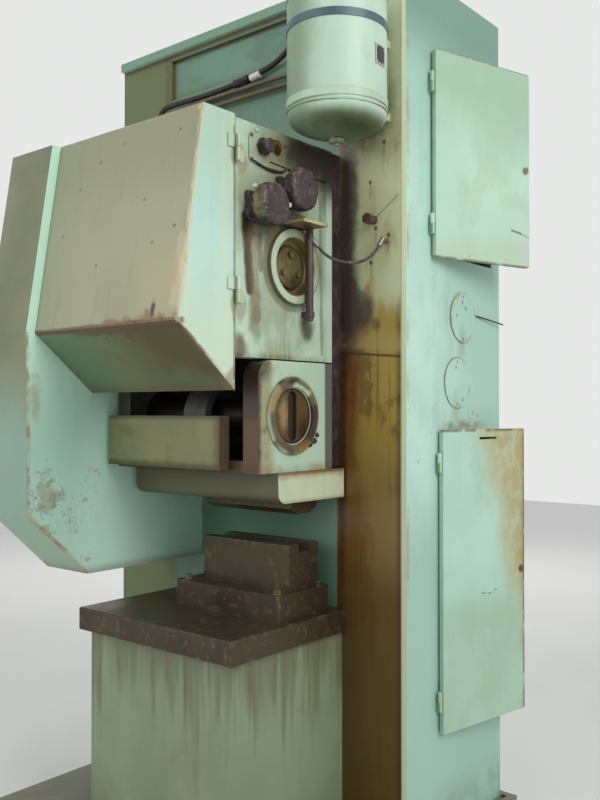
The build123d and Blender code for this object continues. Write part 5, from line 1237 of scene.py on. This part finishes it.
# Fittings on the right cheek
def cast_valves():
    """The two air valves as uneven castings, with the fittings screwed into them."""
    mesh = NODES["air_valves"].data.copy()
    work = bmesh.new()
    work.from_mesh(mesh)
    bmesh.ops.remove_doubles(work, verts=work.verts, dist=0.00001)
    work.to_mesh(mesh)
    work.free()
    valves = roughen(recast("cast_valves", mesh, 0.003), lump=0.0045, size=0.024, seed=2.0)
    settle(valves, "frame", VALVE_IRON)
    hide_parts("air_valves")
    plated, brass = (PALE_FITTING, "zinc_plate"), (BRASS, "bronze")
    fittings = (
        ("rear_valve_dome", (0.552, -0.305, 2.390), (0, 0, 1), 0.019, 0.016, plated),
        ("middle_plug", (0.566, -0.424, 2.243), (1, -0.3, 0), 0.0125, 0.016, plated),
        ("middle_plug_small", (0.560, -0.386, 2.268), (1, -0.3, 0), 0.009, 0.014, plated),
        ("front_valve_plug", (0.556, -0.538, 2.302), (0.2, -1, 0.5), 0.008, 0.010, plated),
        ("rear_valve_elbow", (0.536, -0.262, 2.372), (0, 0.5, 1), 0.015, 0.018, brass),
    )
    for name, place, axis, radius, length, (material, slot) in fittings:
        profile = (
            (-0.006, radius * 0.9), (length * 0.35, radius * 0.9), (length * 0.36, radius),
            (length * 0.70, radius), (length * 0.90, radius * 0.82), (length, radius * 0.45),
        )
        settle(turned(name, profile, place, axis, 20), "frame", material)


def fit_gland_stub():
    """The brown cable stub that leaves the gland, and a screw head above it."""
    route = (
        (0.520, -0.425, 2.470), (0.523, -0.405, 2.479), (0.518, -0.385, 2.474), (0.508, -0.370, 2.464),
        (0.494, -0.362, 2.458),
    )
    settle(spline_curve("gland_stub", route, 0.0105), "frame", BRASS)
    seat = (CHEEK_RIGHT - 0.001, -0.462, 2.512)
    profile = ((0, 0.0075), (0.004, 0.0075), (0.007, 0.006), (0.008, 0.003))
    settle(turned("lamp_screw", profile, seat, (1, 0, 0), 20), "frame", PALE_FITTING)


def run_hatch_wire():
    """The thick cord that sags below the hatch, and the thin one above it."""
    x = CHEEK_RIGHT + 0.0045
    thick = (
        (-0.490, 2.409), (-0.466, 2.404), (-0.435, 2.397),
        (-0.400, 2.392), (-0.366, 2.393), (-0.330, 2.402),
    )
    thin = ((-0.400, 2.420), (-0.330, 2.416), (-0.250, 2.414), (-0.165, 2.412), (-0.095, 2.413))
    for name, route, radius in (("hatch_cord", thick, 0.0042), ("hatch_cord_thin", thin, 0.0026)):
        cord = spline_curve(name, [(x, y, z) for y, z in route], radius)
        settle(cord, "frame", CABLE_RUBBER)


# Fittings on the receiver, the front cable and the side
RECEIVER = Vector((0.62, -0.20, 0))
RECEIVER_RADIUS = 0.1712


def rivet_receiver_plate():
    """The bare plate, bent to the receiver, with a raised border and four rivets."""
    middle_turn, half_turn = 0.076, 0.170
    low, high = 2.732, 2.798
    plate_out, border_out, sunk = 0.0008, 0.0016, -0.002
    border, rivet_inset = 0.0045, 0.010
    turn_border = border / RECEIVER_RADIUS
    strips = 16

    def wall(turn, z, out):
        """A point this far outside the receiver's wall, turned from the plate's middle."""
        reach = RECEIVER_RADIUS + out
        angle = middle_turn + turn
        return RECEIVER + Vector((math.cos(angle) * reach, math.sin(angle) * reach, z))

    def bent_box(work, left, right, bottom, top, out):
        """A box bent round the receiver, between two turns and two heights, out to a distance."""
        corners = []
        outline = ((bottom, sunk), (bottom, out), (top, out), (top, sunk))
        for strip in range(strips + 1):
            turn = left + (right - left) * strip / strips
            corners.append([work.verts.new(wall(turn, z, away)) for z, away in outline])
        for near, far in zip(corners, corners[1:]):
            for k in range(4):
                work.faces.new((near[k], near[(k + 1) % 4], far[(k + 1) % 4], far[k]))
        work.faces.new(corners[0][::-1])
        work.faces.new(corners[-1])

    work = bmesh.new()
    bent_box(work, -half_turn, half_turn, low, high, plate_out)
    settle(plain_piece("receiver_plate", work), "frame", PLATE_STEEL)
    work = bmesh.new()
    bars = (
        (-half_turn, half_turn, low, low + border),
        (-half_turn, half_turn, high - border, high),
        (-half_turn, turn_border - half_turn, low + border, high - border),
        (half_turn - turn_border, half_turn, low + border, high - border),
    )
    for bar in bars:
        bent_box(work, *bar, border_out)
    settle(plain_piece("receiver_plate_border", work), "frame", PALE_FITTING)
    side = half_turn - turn_border * 2.2
    seats = [(turn, z) for z in (low + rivet_inset, high - rivet_inset) for turn in (-side, side)]
    profile = ((0, 0.0028), (0.0010, 0.0026), (0.0018, 0.0018), (0.0021, 0.0006))
    for number, (turn, z) in enumerate(seats):
        seat = wall(turn, z, 0.0006)
        rivet = turned(f"plate_rivet_{number}", profile, seat, seat - RECEIVER - Vector((0, 0, z)), 16)
        settle(rivet, "frame", PALE_FITTING)


def wrap_front_cable():
    """A white sleeve and a clump of black tape on the front cable."""
    sleeve = ((0.064, -0.029, 2.910), (0.088, -0.030, 2.912), (0.112, -0.030, 2.916))
    settle(spline_curve("cable_sleeve", sleeve, 0.0135), "frame", PALE_PLASTIC)
    tape = ((-0.030, -0.024, 2.908), (0.010, -0.025, 2.911), (0.050, -0.025, 2.914))
    clump = spline_curve("tape_curve", tape, 0.0155)
    bpy.context.scene.collection.objects.link(clump)
    mesh = plain_mesh(clump)
    bpy.data.objects.remove(clump)
    wrap = roughen(recast("cable_tape", mesh, 0.0022), lump=0.0045, size=0.014, seed=7.0)
    settle(wrap, "frame", CABLE_RUBBER)


def fix_wire_end():
    """The stiff wire end that sticks out between the two doors."""
    route = ((0.742, 0.486, 1.972), (0.756, 0.540, 1.966), (0.764, 0.640, 1.956), (0.770, 0.716, 1.947))
    settle(spline_curve("wire_end", route, 0.0028), "frame", CABLE_RUBBER)


def smear_grease():
    """Lumps of old grease where the ring meets the ram cheek."""
    lumps = (
        (-0.165, 1.492, 0.013), (-0.187, 1.478, 0.010), (-0.147, 1.512, 0.009), (-0.212, 1.468, 0.008),
    )
    work = bmesh.new()
    for y, z, radius in lumps:
        flat = Matrix.Translation((RAM_RIGHT + 0.001, y, z)) @ Matrix.Diagonal((0.45, 1.15, 0.85, 1))
        bmesh.ops.create_icosphere(work, subdivisions=3, radius=radius, matrix=flat)
    piece = roughen(plain_piece("ring_grease", work), lump=0.0022, size=0.008, seed=4.0)
    settle(piece, "ram", SLIDE_GREASE)


# Screws and welds
def edge_places(low, high, inset, pitch, outward):
    """Points round a flat plate's edge, evenly spaced on each side, and the way that it faces."""
    across, up = [axis for axis in range(3) if not outward[axis]]
    through = 3 - across - up
    places = []

    def put(a, b):
        """One place, at two measures across and up the plate."""
        point = Vector((0, 0, 0))
        point[across], point[up], point[through] = a, b, high[through]
        places.append((point, Vector(outward)))

    def spaced(axis):
        """The places along one side, from corner to corner."""
        run = high[axis] - low[axis] - 2 * inset
        count = max(1, round(run / pitch))
        return [low[axis] + inset + run * k / count for k in range(count + 1)]

    columns, rows = spaced(across), spaced(up)
    for column in columns:
        put(column, rows[0])
        put(column, rows[-1])
    for row in rows[1:-1]:
        put(columns[0], row)
        put(columns[-1], row)
    return places


def fix_screws():
    """Screws round the rear cover, the hatch and the roof, and on the corners of the die shoe."""
    plates = (
        ("rear_screws", "rear_cover", 0.022, 0.22, (0, 1, 0), 0.0075, 0.006),
        ("hatch_screws", "cheek_hatch", 0.011, 0.20, (1, 0, 0), 0.0052, 0.004),
        ("roof_screws", "head_roof", 0.030, 0.24, (0, 0, 1), 0.010, 0.008),
    )
    for name, plate, inset, pitch, outward, reach, depth in plates:
        places = edge_places(*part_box(plate), inset, pitch, outward)
        settle(grow_screws(name, places, SCREW_STEEL, reach, depth), "frame")
    low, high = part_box("die_shoe")
    inset = 0.035
    columns, rows = (low.x + inset, high.x - inset), (low.y + inset, high.y - inset)
    shoe = [(Vector((x, y, high.z)), Vector((0, 0, 1))) for x in columns for y in rows]
    settle(grow_screws("shoe_screws", shoe, SCREW_STEEL, 0.014, 0.012), "frame")


def run_welds():
    """Weld beads where the column and the sides of the bed stand on the base plate."""
    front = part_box("column_front_plate")[0].y
    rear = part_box("column_rear_plate")[1].y
    left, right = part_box("column_left_plate")[0].x, COLUMN_RIGHT
    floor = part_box("base_plate")[1].z
    foot = [(left, front), (right, front), (right, rear), (left, rear), (left, front)]
    low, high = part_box("bed_sides")
    lines = [foot, *([(x, low.y), (x, high.y)] for x in (low.x, high.x))]
    runs = [[Vector((x, y, floor)) for x, y in line] for line in lines]
    settle(grow_welds("foot_welds", runs, BED_ENAMEL), "frame")


lay_floor()
cast_valves()
fit_gland_stub()
run_hatch_wire()
rivet_receiver_plate()
wrap_front_cable()
fix_wire_end()
smear_grease()
fix_screws()
run_welds()


# Hose: the route's points are those of the part's source, in metres
HOSE_ROUTE = (
    (0.541, -0.203, 2.162),
    (0.554, -0.190, 2.140),
    (0.574, -0.169, 2.121),
    (0.601, -0.141, 2.109),
    (0.629, -0.111, 2.108),
    (0.654, -0.082, 2.119),
    (0.672, -0.056, 2.142),
    (0.682, -0.040, 2.173),
)
HOSE_DIAMETER = 0.011

hose = spline_curve("hanging_hose", HOSE_ROUTE, HOSE_DIAMETER / 2)
settle(hose, "frame", HOSE_RUBBER)
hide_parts("air_hose")
